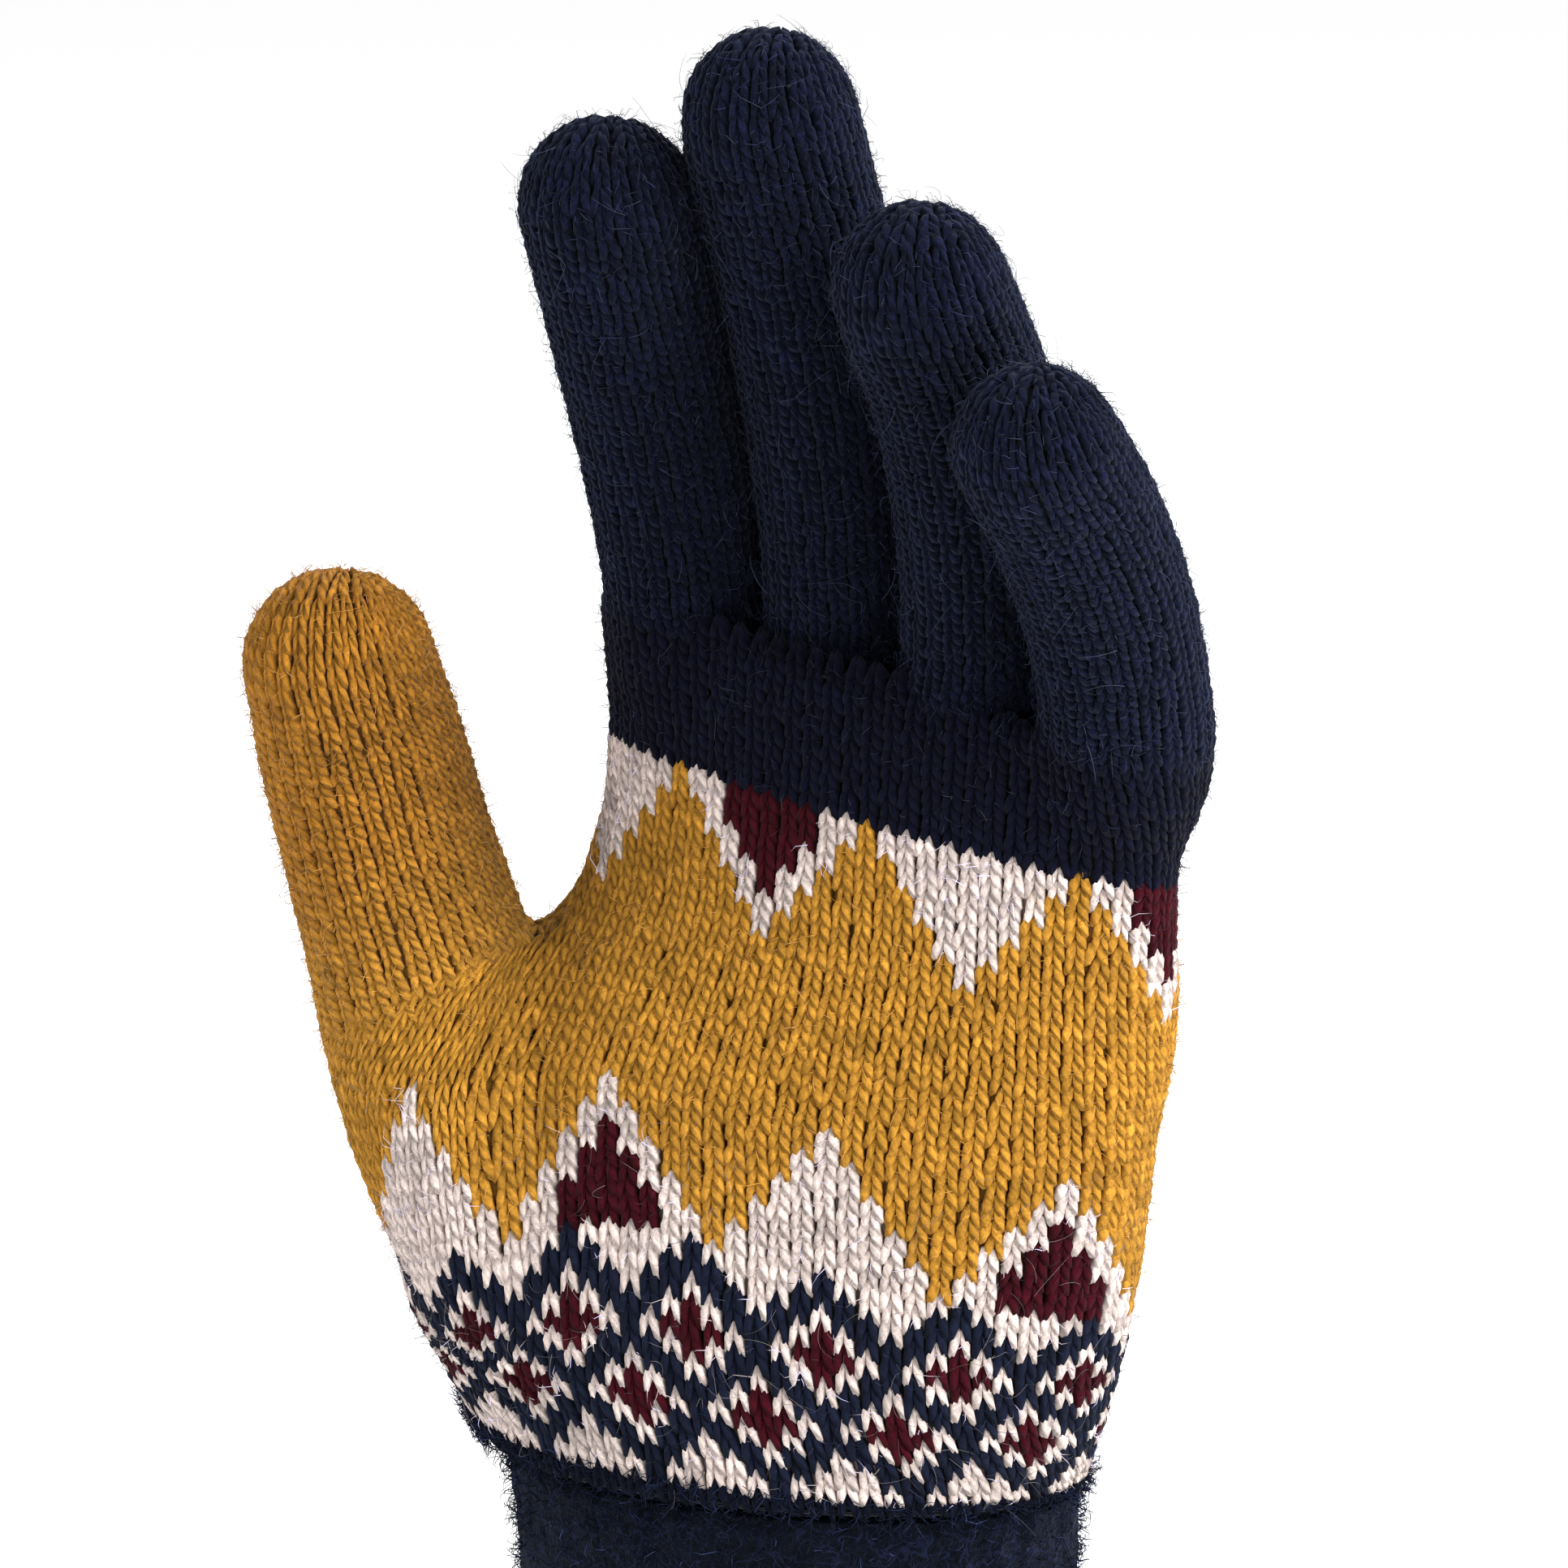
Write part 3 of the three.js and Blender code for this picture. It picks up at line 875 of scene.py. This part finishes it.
def even_loop(line):
    """The line resampled at even steps, slightly blurred, with its length in metres."""
    closed = np.vstack([line, line[:1]])
    far = np.concatenate([[0], np.cumsum(np.linalg.norm(np.diff(closed, axis=0), axis=1))])
    places = np.linspace(0, far[-1], LOOP_SAMPLES, endpoint=False)
    even = np.stack([np.interp(places, far, closed[:, c]) for c in range(3)], axis=1)
    waves = np.fft.rfftfreq(LOOP_SAMPLES, far[-1] / LOOP_SAMPLES / MM)
    soft = np.exp(-2 * (math.pi * waves * LOOP_BLUR) ** 2)
    even = np.fft.irfft(np.fft.rfft(even, axis=0) * soft[:, None], LOOP_SAMPLES, axis=0)
    return even, np.linalg.norm(even - np.roll(even, -1, axis=0), axis=1).sum()


print("course 10 is", round(even_loop(slice_loop(10 + BESIDE_COURSE))[1] / MM), "mm round")

# %% [markdown]
# ## The wales of the hand
# 68 wales run the whole height of the hand. Beside them the thumb's gusset starts with 10 wales above
# the cuff and gains 20 more, two at a time, in a wedge on the thumb's outer side. The wales of the palm
# hang from one column, number 10, whose place is known on each course.

# %% Wale edges round each course
# The columns are course, x of column 10, width of a palm wale and width of a back wale.
WALE_LINES = np.array((
    (-3, 6.5, 2.90, 2.75), (0, 5.8, 2.92, 2.80), (3, 3.7, 2.95, 2.90), (7, 2.7, 2.95, 3.05),
    (21, 3.3, 3.20, 3.05), (30, 6.0, 2.98, 3.12), (35, 7.4, 2.88, 3.15), (45, 8.5, 2.90, 3.20),
    (58, 9.5, 2.95, 3.20)))
HAND_WALES = 68
PALM_WALES = 33
GUSSET_BEFORE = 2
GUSSET_BORN = 20
GUSSET_AFTER = 8
FIRST_COLUMN = -6
ANCHOR_SLOT = 16.5
CROTCH_COURSE = 30.2
BIRTH_PACE = 2.7
STEADY_COURSE = 54
STEADY_STEPS = 6
BORN_ENOUGH = 0.45                # the share of its full width from which a gusset wale is knitted
GUSSET_WALES = GUSSET_BEFORE + GUSSET_BORN + GUSSET_AFTER
ALL_WALES = HAND_WALES + GUSSET_WALES


def gusset_weights(course):
    """How wide each gusset wale is at a course, from 0 before it is born to 1."""
    weights = np.ones(GUSSET_WALES)
    for k in range(GUSSET_BORN):
        from_centre = abs(k - (GUSSET_BORN - 1) / 2) + 0.5
        born = 1 + BIRTH_PACE * (GUSSET_BORN / 2 - from_centre)
        weights[GUSSET_BEFORE + k] = np.clip((course - born) / 1.5, 0, 1)
    return weights


def wale_edges(course, length, anchor):
    """The distance in mm along the loop of each wale's edge."""
    palm, back = (np.interp(course, WALE_LINES[:, 0], WALE_LINES[:, c]) for c in (2, 3))
    back_wales = HAND_WALES - PALM_WALES
    if course > CROTCH_COURSE:
        back = (length - PALM_WALES * palm) / back_wales
    widths = np.concatenate([np.full(PALM_WALES, palm), np.full(back_wales, back), gusset_weights(course)])
    rest = length - widths[:HAND_WALES].sum()
    widths[HAND_WALES:] *= max(rest, 0) / widths[HAND_WALES:].sum()
    edges = np.concatenate([[0], np.cumsum(widths)])
    return edges + anchor - ANCHOR_SLOT * palm


def hand_cloth():
    """The hand's cloth, from slices of the skin at every half course.

    Above the crotch of the thumb the gusset's wales run straight on. Above STEADY_COURSE the slices run
    into the fingers, so the last courses go on in the same direction and are then drawn onto the skin.
    """
    lines, tangents = [], []
    for course in np.arange(FIRST_COURSE, LAST_COURSE + HALF / 2, HALF):
        loop, length = even_loop(slice_loop(course + BESIDE_COURSE))
        step = length / LOOP_SAMPLES / MM
        x = loop[:, 0] / MM
        at_x = np.interp(course, WALE_LINES[:, 0], WALE_LINES[:, 1])
        crossing = np.flatnonzero((x < at_x) & (np.roll(x, -1) >= at_x))
        front = crossing[np.argmin(loop[crossing, 1])]
        anchor = (front + (at_x - x[front]) / (np.roll(x, -1)[front] - x[front])) * step
        edges = wale_edges(course, length / MM, anchor) / step
        tangent = np.roll(loop, -3, axis=0) - np.roll(loop, 3, axis=0)
        grid = np.arange(LOOP_SAMPLES + 1)
        wrap = np.mod(edges, LOOP_SAMPLES)
        for source, target in ((loop, lines), (tangent, tangents)):
            around = np.vstack([source, source[:1]])
            target.append(np.stack([np.interp(wrap, grid, around[:, c]) for c in range(3)], axis=1))
    lines, tangents = np.array(lines), np.array(tangents)
    last = int((CROTCH_COURSE - FIRST_COURSE) / HALF)
    gusset = slice(HAND_WALES + 1, ALL_WALES)
    for k in range(1, len(lines) - last):
        lines[last + k, gusset] = lines[last, gusset] + k * (lines[last, gusset] - lines[last - 1, gusset])
        tangents[last + k, gusset] = tangents[last, gusset]
    kept = int((STEADY_COURSE - FIRST_COURSE) / HALF) + 1
    rise = (lines[kept - 1] - lines[kept - 1 - STEADY_STEPS]) / STEADY_STEPS
    for k in range(kept, len(lines)):
        lines[k] = lines[k - 1] + rise
        tangents[k] = tangents[kept - 1]
    down = lines[0] - lines[1]
    below = [lines[0] + 2 * down, lines[0] + down]
    beyond = [lines[-1] + k * rise for k in (1, 2, 3)]
    lines = np.concatenate([below, lines, beyond])
    tangents = np.concatenate([tangents[:1]] * 2 + [tangents] + [tangents[-1:]] * 3)
    for _ in range(2):
        lines[1:-1] = 0.25 * lines[:-2] + 0.5 * lines[1:-1] + 0.25 * lines[2:]
    rows = FIRST_COURSE - 1 + HALF * np.arange(len(lines))
    pull = np.clip((rows - STEADY_COURSE + 1) / 2, 0, 1)[:, None] * np.ones(lines.shape[1])
    pull[:, gusset] = 0
    return pulled_to_skin(Cloth(FIRST_COURSE - 1, lines, tangents), pull)


palm_cloth = hand_cloth()
print("hand cloth grid", palm_cloth.points.shape)

# %% [markdown]
# ## The knitting chart
# From the cuff up: a lattice of two rows of burgundy diamonds edged in cream on navy, a zigzag of tall
# cream peaks on mustard with burgundy hearts in every second peak, plain mustard, and the same zigzag
# hanging upside down from the navy yoke. A chart as short as this is better written as rules than as a
# picture: how far a stitch is from the nearest peak says which yarn it takes.

# %% The chart
CHART_START = -1
LATTICE_REPEAT = 6
LOWER_CENTRE = (1, 3)
UPPER_CENTRE = (4, 7)
LOWER_PEAKS = (-10, 0, 10, 20, 30, 40, 49, 59)
LOWER_ROUND = 78
UPPER_TIPS = (-5, 5, 15, 25, 35, 44, 54)
PEAK_TOP = 21
PEAK_FOOT = 11
YOKE_START = 45
TIP_LENGTH = 10
LATTICE_TOP_IN_WEDGE = 8
HEART_TOP = 18
HEART_LENGTH = 7
HEART_HALF = 2


def lattice(row, column):
    """The two rows of diamonds and the small cream pyramids below them."""

    def away(centre):
        side = (column - centre[0]) % LATTICE_REPEAT
        return min(side, LATTICE_REPEAT - side) + abs(row - centre[1])

    lower, upper = away(LOWER_CENTRE), away(UPPER_CENTRE)
    nearest = min(lower, upper)
    if nearest <= 1:
        return "burgundy"
    if nearest == 2:
        return "cream"
    if row <= 1 and away((UPPER_CENTRE[0], row)) <= 1 - row:
        return "cream"
    if row >= UPPER_CENTRE[1] and upper > 4:
        return "cream"
    return "fuzzy_navy"


def nearest_peak(column, peaks, round_length):
    """The distance to the nearest peak, and whether that peak has a burgundy heart."""
    aways = [min(abs(column - peak), round_length - abs(column - peak)) for peak in peaks]
    best = aways.index(min(aways))
    return aways[best], best % 2 == 1


def chart(row, column, in_wedge):
    """The yarn of a stitch. The wedge's own wales have no column and follow the foot of the zigzag."""
    if row < CHART_START:
        return "cuff_navy"
    if row >= YOKE_START:
        return "navy"
    if in_wedge:
        return "fuzzy_navy" if row <= LATTICE_TOP_IN_WEDGE else "cream" if row <= PEAK_FOOT else "mustard"
    if row <= PEAK_FOOT:
        return lattice(row, column)
    if row <= PEAK_TOP:
        away, heart = nearest_peak(column, LOWER_PEAKS, LOWER_ROUND)
        if heart and away <= HEART_HALF and row <= HEART_TOP - 2 * away:
            return "burgundy"
        return "cream" if row <= PEAK_TOP - 2 * away else "mustard"
    away, heart = nearest_peak(column, UPPER_TIPS, HAND_WALES)
    if heart and away <= HEART_HALF and row >= YOKE_START - HEART_LENGTH + 2 * away:
        return "burgundy"
    return "cream" if row >= YOKE_START - TIP_LENGTH + 2 * away and away < 5 else "mustard"


print("course 3:", "".join(chart(3, c, False)[0] for c in range(24)))

# %% [markdown]
# ## Knitting the hand
# The hand is knitted round palm, back and thumb's wedge. It could be one object, but two that meet at a
# course stay well below the size that an exported piece may have. Stitches that would lie under the
# thumb or above the join of the fingers are left out.

# %% Knit the hand
SPLIT_COURSE = 22
HAND_STITCH_WIDTH = 1.13
HAND_OVERLAP = 0.5 * MM
HAND_KNITS = ("lower_hand_knit", "upper_hand_knit")


def slot_column(slot):
    """The chart column of a slot, and whether the slot is one of the wedge's own."""
    if slot < HAND_WALES + GUSSET_BEFORE:
        return slot + FIRST_COLUMN, False
    if slot < HAND_WALES + GUSSET_BEFORE + GUSSET_BORN:
        return 0, True
    return slot - GUSSET_BORN + FIRST_COLUMN - LOWER_ROUND, False


def hand_stitches(first, last):
    """The stitches of the hand's courses first to last, with their yarns."""
    rows, slots, colours = [], [], []
    for row in range(first, last + 1):
        weights = np.concatenate([np.ones(HAND_WALES), gusset_weights(row)])
        if row > CROTCH_COURSE - HALF:
            weights[HAND_WALES:] = 0
        for slot in np.flatnonzero(weights > BORN_ENOUGH):
            column, in_wedge = slot_column(int(slot))
            rows.append(row)
            slots.append(slot + 0.5)
            colours.append(chart(row, column, in_wedge))
    rows, slots, colours = np.array(rows, float), np.array(slots), np.array(colours)
    spots = palm_cloth.at(rows, slots)[0]
    under_thumb = (spots[:, 0] < THUMB_JOIN[0][0]) & (above_join(spots, THUMB_JOIN) > OVERLAP)
    keep = ~under_thumb & (above_join(spots, FINGER_JOIN) < HAND_OVERLAP)
    return rows[keep], slots[keep], np.full(keep.sum(), HAND_STITCH_WIDTH), colours[keep]


def seam_limits(rows, slots):
    """Above the thumb the first and last wales of the hand meet, and stay clear of the gusset."""
    closed = (rows > CROTCH_COURSE - 2) & (slots < HAND_WALES)
    return np.where(closed, 0.0, -1.0), np.where(closed, HAND_WALES, ALL_WALES + 1.0)


for name, first, last in zip(HAND_KNITS, (FIRST_COURSE, SPLIT_COURSE), (SPLIT_COURSE - 1, LAST_COURSE)):
    laid = hand_stitches(first, last)
    knit(name, palm_cloth, *laid, jacquard_wool, "patterned_wool", limits=seam_limits(*laid[:2]))

# %% [markdown]
# ## Closing the crotches
# A knitter picks up extra stitches between two fingers, because the cloths leave small holes where they
# part. The same is done here: where a point of the skin near a join faces the open air and has no stitch
# near it, one more stitch is laid on the skin.

# %% Extra stitches at the joins
DARN_HEIGHT = 9 * MM
DARN_SPACING = 1.65 * MM
SKY_RAYS_NEEDED = 2
# painted shade: the extra stitches lie deep in the crotches, so their colour is darkened
DARN_SHADE = 0.6
DARN_WALE = 2.7 * MM
DARN_COURSE = 1.7 * MM
LYING = 0.8                       # skin whose normal rises more steeply than this is taken as level
FINGER_KNITS = tuple(finger + "_knit" for finger in FINGERS)


def search_tree(spots):
    """A tree that finds the nearest of the spots."""
    tree = kdtree.KDTree(len(spots))
    for i, spot in enumerate(spots):
        tree.insert(spot, i)
    tree.balance()
    return tree


def faces_open_air(point, normal):
    """Whether enough straight lines from a point of the skin leave the glove."""
    start = point + normal * RAY_START
    free = sum(skin_tree.ray_cast(start, d)[0] is None for d in DIRECTIONS if d.dot(normal) > 0)
    return free >= SKY_RAYS_NEEDED


def darn(name, join, side, knits, colour, material):
    """Lays extra stitches on bare skin near a join. side limits the points to one part of the hand."""
    taken = search_tree([spot for k in knits for spot in knitted[k][0]])
    near = (np.abs(above_join(skin_points, join)) < DARN_HEIGHT) & side(skin_points)
    spots, normals = [], []
    for i in np.flatnonzero(near):
        point = Vector(skin_points[i])
        normal = Vector(skin_normals[i])
        near_stitch = taken.find(point)[2] < DARN_SPACING
        if near_stitch or any((point - s).length < DARN_SPACING for s in spots):
            continue
        if faces_open_air(point, normal):
            spots.append(point)
            normals.append(normal)
    spots, normals = np.array(spots), np.array(normals)
    lying = np.abs(normals[:, 2:3]) > LYING
    upward = np.where(lying, [[0, 1.0, 0]], [[0, 0, 1.0]])
    across = np.cross(upward, normals)
    across /= np.linalg.norm(across, axis=1, keepdims=True)
    along = np.cross(normals, across)
    obj = copies(stitch, len(spots), name)
    x, y, height = (stitch_points * (DARN_WALE, DARN_COURSE, 1) + (0, 0, STITCH_DEPTH)).T[:, None, :, None]
    points = spots[:, None] + across[:, None] * x + along[:, None] * y + normals[:, None] * height
    # painted shade: the crotch stitches' colour is darkened
    shade = np.array([srgb(YARN[colour])]) * rng.normal(1, SHADE_SPREAD, (len(spots), 1)) * DARN_SHADE
    place_copies(obj, points, shade)
    dress(obj, material)
    knitted[name] = (spots, normals, shade)
    print(name, len(spots), "extra stitches")


darn("finger_crotches", FINGER_JOIN, lambda p: p[:, 0] > -28 * MM, HAND_KNITS + FINGER_KNITS, "navy",
     navy_wool)
darn("thumb_crotch", THUMB_JOIN, lambda p: (p[:, 0] < -20 * MM) & (p[:, 2] < 140 * MM),
     HAND_KNITS + ("thumb_knit",), "mustard", mustard_wool)

# %% [markdown]
# ## The wall behind the stitches
# Between the legs one sees the same yarn again, in shade. A copy of each solid, drawn in by about a
# millimetre, stands there, keeps the real wall and its opening, and takes a darker shade of the nearest
# stitch's colour. Stitches on both sides would look the same from outside and cost twice as much. These
# walls replace the plain solids.

# %% Walls
WALL_INSET = 1.15 * MM
WALL_SHADE = 0.45
WALL_CUTS = 1


def wall(node, knits, material):
    """A drawn-in copy of a CAD node, coloured from the stitches in front of it."""
    bm = merged_copy(node, WALL_CUTS)
    for v in bm.verts:
        v.co -= v.normal * WALL_INSET
    mesh = mesh_from(bm, node + "_wall")
    shades = np.concatenate([knitted[k][2] for k in knits])
    tree = search_tree(np.concatenate([knitted[k][0] for k in knits]))
    colour_points(mesh, [shades[tree.find(v.co)[1]] * WALL_SHADE for v in mesh.vertices])
    dress(new_object(mesh.name, mesh), material, node)


# The wall's wool is the same, but lies in shade, so that it needs no plies.
flat_jacquard = wool("carded_wool_jacquard_inside", 0.1, twisted=False)
flat_mustard = wool("carded_wool_mustard_inside", 0.1, twisted=False)
flat_navy = wool("carded_wool_navy_inside", 0.1, twisted=False)
wall("hand", HAND_KNITS, flat_jacquard)
wall("thumb", ("thumb_knit",), flat_mustard)
for finger in FINGERS:
    wall(finger, (finger + "_knit",), flat_navy)

# %% [markdown]
# ## The brushed cuff
# The cuff is knitted like the rest and then brushed until a curly nap hides the stitches. Its body is a
# finely cut copy of the cuff's solid, made a little lumpy. The nap itself is thousands of short curled
# fibres, which the next steps make.

# %% Cuff body
CUFF_INSET = 0.55 * MM
LUMP_SIZE = 2.2 * MM
LUMP_HEIGHT = 0.55 * MM
CUFF_SHADE = 0.7
CUFF_CUTS = 3


def cuff_body():
    """The felted ground of the cuff under its nap."""
    bm = merged_copy("cuff", CUFF_CUTS)
    for v in bm.verts:
        lump = noise.noise(v.co / LUMP_SIZE) + 0.5 * noise.noise(v.co * 2.3 / LUMP_SIZE)
        v.co += v.normal * (lump * LUMP_HEIGHT - CUFF_INSET)
    mesh = mesh_from(bm, "cuff_body")
    colour_points(mesh, [np.array(srgb(YARN["cuff_navy"])) * CUFF_SHADE] * len(mesh.vertices))
    obj = new_object("cuff_body", mesh)
    dress(obj, felted_wool, "cuff")
    return obj


cuff = cuff_body()

# %% [markdown]
# ## Loose fibres
# Carded wool is never smooth: short fibres stand out all over and draw a soft halo round the glove. Hair
# strands would be lost in the exported model, so each fibre is a thin closed three-sided spike. An Array
# modifier makes the copies, and each copy is bent along its own curve.

# %% Fibre templates


def fibre_template(joints):
    """A three-sided spike of unit radius, as tall as its number of joints."""
    bm = bmesh.new()
    made = bmesh.ops.create_circle(bm, cap_ends=True, segments=3, radius=1)
    faces = list({f for v in made["verts"] for f in v.link_faces})
    for joint in range(joints - 1):
        grown = bmesh.ops.extrude_face_region(bm, geom=faces)
        verts = [g for g in grown["geom"] if isinstance(g, bmesh.types.BMVert)]
        if joint:
            bmesh.ops.delete(bm, geom=faces, context="FACES_ONLY")
        faces = [g for g in grown["geom"] if isinstance(g, bmesh.types.BMFace)]
        bmesh.ops.translate(bm, verts=verts, vec=(0, 0, 1))
    tip = bmesh.ops.poke(bm, faces=faces)
    bmesh.ops.translate(bm, verts=tip["verts"], vec=(0, 0, 1))
    bmesh.ops.recalc_face_normals(bm, faces=bm.faces)
    return mesh_from(bm, "fibre")


short_fibre = fibre_template(2)
long_fibre = fibre_template(6)
print("a short fibre has", len(short_fibre.polygons), "faces, a long one", len(long_fibre.polygons))

# %% Growing fibres
FIBRE_RADIUS = 0.05 * MM
LOWEST_FIBRE = -0.6 * MM
RISE = 2.1                        # a fibre rises along a sine up to this angle, and so droops at its end
TIP_TAPER = 0.5


def sideways(normals, angles):
    """Unit vectors along the surface, turned by the angles."""
    flat = np.cross(normals, np.where(np.abs(normals[:, 2:3]) < 0.9, [[0, 0, 1.0]], [[1.0, 0, 0]]))
    flat /= np.linalg.norm(flat, axis=1, keepdims=True)
    other = np.cross(normals, flat)
    return flat * np.cos(angles)[:, None] + other * np.sin(angles)[:, None]


def grow(name, roots, normals, shades, lengths, lifts, curls, material, fibre=short_fibre,
         radius=FIBRE_RADIUS):
    """Grows one fibre from each root: length along the surface, lift off it in metres, curl in radians."""
    count = len(roots)
    obj = copies(fibre, count, name)
    shape = np.array([v.co[:] for v in fibre.vertices])
    t = shape[:, 2] / shape[:, 2].max()
    heading = rng.uniform(0, 2 * math.pi, count)
    start, end = sideways(normals, heading), sideways(normals, heading + curls)
    bend = start[:, None] * (t - 0.5 * t ** 2)[None, :, None] + end[:, None] * (0.5 * t ** 2)[None, :, None]
    raised = normals[:, None] * (lifts[:, None] * np.sin(RISE * t)[None])[..., None]
    spine = roots[:, None] + bend * lengths[:, None, None] + raised
    aside = np.cross(normals, start)
    taper = radius * (1 - TIP_TAPER * t)
    ring = (shape[:, 0] * taper)[None, :, None] * aside[:, None]
    ring = ring + (shape[:, 1] * taper)[None, :, None] * normals[:, None]
    points = spine + ring
    points[:, :, 2] = np.maximum(points[:, :, 2], LOWEST_FIBRE)
    place_copies(obj, points, shades)
    dress(obj, material)


# %% [markdown]
# ## Short fuzz
# The fuzz is one or two short fibres to a stitch, some much paler, where light passes through them. A
# hair system could draw it, but wouldn't be exported. Each fibre starts beside a random stitch, so that
# it takes the colour of the yarn that it grows from.

# %% Short fuzz
FUZZ_LENGTH = 1.9
FUZZ_SPREAD = 0.45
LONGEST_FUZZ = 6.0
PALE_FIBRES = (0.045, 0.050, 0.075)
ROOT_SPREAD = 0.6 * MM
FUZZ_CURL = 1.9


def on_surface(spots, normals, spread):
    """The spots moved along the surface by random steps."""
    steps = rng.normal(0, spread, spots.shape)
    moved = spots + steps
    return moved - normals * ((moved - spots) * normals).sum(axis=1, keepdims=True)


def fuzz_on(name, knits, count, material, slot_name, gain, low, high):
    """Fibres that stand low to high mm off random stitches. gain is how pale the palest get."""
    spots, outward, shade = (np.concatenate([knitted[k][i] for k in knits]) for i in range(3))
    pick = rng.integers(0, len(spots), count)
    roots = on_surface(spots[pick], outward[pick], ROOT_SPREAD)
    tone = shade[pick] * (1 + (np.array(gain) - 1) * rng.uniform(0, 1, (count, 1)) ** 1.5)
    tone += np.array(PALE_FIBRES) * rng.uniform(0, 1, (count, 1)) ** 3
    length = np.minimum(FUZZ_LENGTH * np.exp(rng.normal(0, FUZZ_SPREAD, count)), LONGEST_FUZZ) * MM
    lift = low * MM + (high - low) * MM * rng.uniform(0, 1, count) ** 2.2
    curl = rng.normal(0, FUZZ_CURL, count)
    grow(name, roots, outward[pick], tone, length, lift, curl, material)


# Loose fibres are the same wool without plies. They are paler than the cloth, as light passes through them.
hair_jacquard = wool("loose_wool_fibres_jacquard", 0.03, twisted=False)
hair_navy = wool("loose_wool_fibres_navy", 0.03, twisted=False)
hair_mustard = wool("loose_wool_fibres_mustard", 0.03, twisted=False)
for fuzz in (("hand_fuzz", HAND_KNITS, 6400, hair_jacquard, "patterned_wool", (1.7, 1.9, 3.2), 0.3, 1.7),
             ("thumb_fuzz", ("thumb_knit", "thumb_crotch"), 2200, hair_mustard, "mustard_wool",
              (2.0, 2.3, 4.5), 0.3, 1.7),
             ("finger_fuzz", FINGER_KNITS + ("finger_crotches",), 9600, hair_navy, "navy_wool",
              (6.5, 7.5, 7.5), 0.15, 1.3)):
    fuzz_on(*fuzz)

# %% [markdown]
# ## Long stray hairs
# A few long hairs have worked loose and lie in arcs over the cloth. The short template would bend in
# corners at this length, so they use one with more joints, which costs little, as they are few.

# %% Long stray hairs
STRAY_RADIUS = 0.03 * MM
STRAY_LENGTHS = (4.0, 9.0)
STRAY_LIFTS = (0.5, 1.6)
STRAY_ROOT = 0.3 * MM
WILD_CURL = 2.4


def strays(name, knits, count, palest, material):
    """A few long pale hairs, each following an arc over the cloth."""
    spots, outward = (np.concatenate([knitted[k][i] for k in knits]) for i in range(2))
    pick = rng.integers(0, len(spots), count)
    tone = np.array(palest) * rng.uniform(0.35, 1.2, (count, 1))
    length = rng.uniform(*STRAY_LENGTHS, count) * MM
    lift = rng.uniform(*STRAY_LIFTS, count) * MM
    curl = rng.normal(0, WILD_CURL, count)
    roots = spots[pick] + outward[pick] * STRAY_ROOT
    grow(name, roots, outward[pick], tone, length, lift, curl, material, long_fibre,
         STRAY_RADIUS)


strays("hand_strays", HAND_KNITS[:1], 420, (0.26, 0.24, 0.24), hair_jacquard)
strays("finger_strays", FINGER_KNITS, 330, (0.07, 0.09, 0.16), hair_navy)

# %% [markdown]
# ## The nap of the cuff
# Brushing pulls out fibres until they cover the cuff in a curly nap. Bump alone would leave a smooth
# outline, so thicker fibres stand all over the outside, and some on the hand's first courses, where
# the brushing ran over the edge.

# %% Cuff nap
NAP_COUNT = 9500
NAP_ON_HAND = 2200
NAP_COURSES = (-3.0, -1.35)
NAP_RADIUS = 0.085 * MM
NAP_SPREAD = 0.8 * MM
NAP_LENGTHS = (1.6, 4.2)
NAP_LIFTS = (0.4, 1.9)
NAP_TONE = (0.55, 0.9)            # the mean and the spread of the logarithm of a fibre's brightness


def cuff_nap():
    """A dense curly nap over the outside of the cuff, which runs on over the hand's first courses."""
    mesh = cuff.data
    centre = np.array([v.co[:] for v in mesh.vertices]).mean(axis=0)
    places = np.array([p.center[:] for p in mesh.polygons])
    facing = np.array([p.normal[:] for p in mesh.polygons])
    areas = np.array([p.area for p in mesh.polygons])
    areas = areas * (((places - centre) * facing)[:, :2].sum(axis=1) > 0)
    pick = rng.choice(len(places), NAP_COUNT, p=areas / areas.sum())
    roots = on_surface(places[pick], facing[pick], NAP_SPREAD)
    rows = rng.uniform(*NAP_COURSES, NAP_ON_HAND)
    on_hand, outward = palm_cloth.at(rows, rng.uniform(0, ALL_WALES, NAP_ON_HAND))
    roots = np.concatenate([roots, on_hand])
    normals = np.concatenate([facing[pick], outward])
    count = NAP_COUNT + NAP_ON_HAND
    tone = np.array(srgb(YARN["cuff_navy"])) * np.exp(rng.normal(*NAP_TONE, (count, 1)))
    length = rng.uniform(*NAP_LENGTHS, count) * MM
    lift = rng.uniform(*NAP_LIFTS, count) * MM
    curl = rng.normal(0, WILD_CURL, count)
    grow("cuff_nap", roots, normals, tone, length, lift, curl, brushed_wool,
         radius=NAP_RADIUS)


cuff_nap()
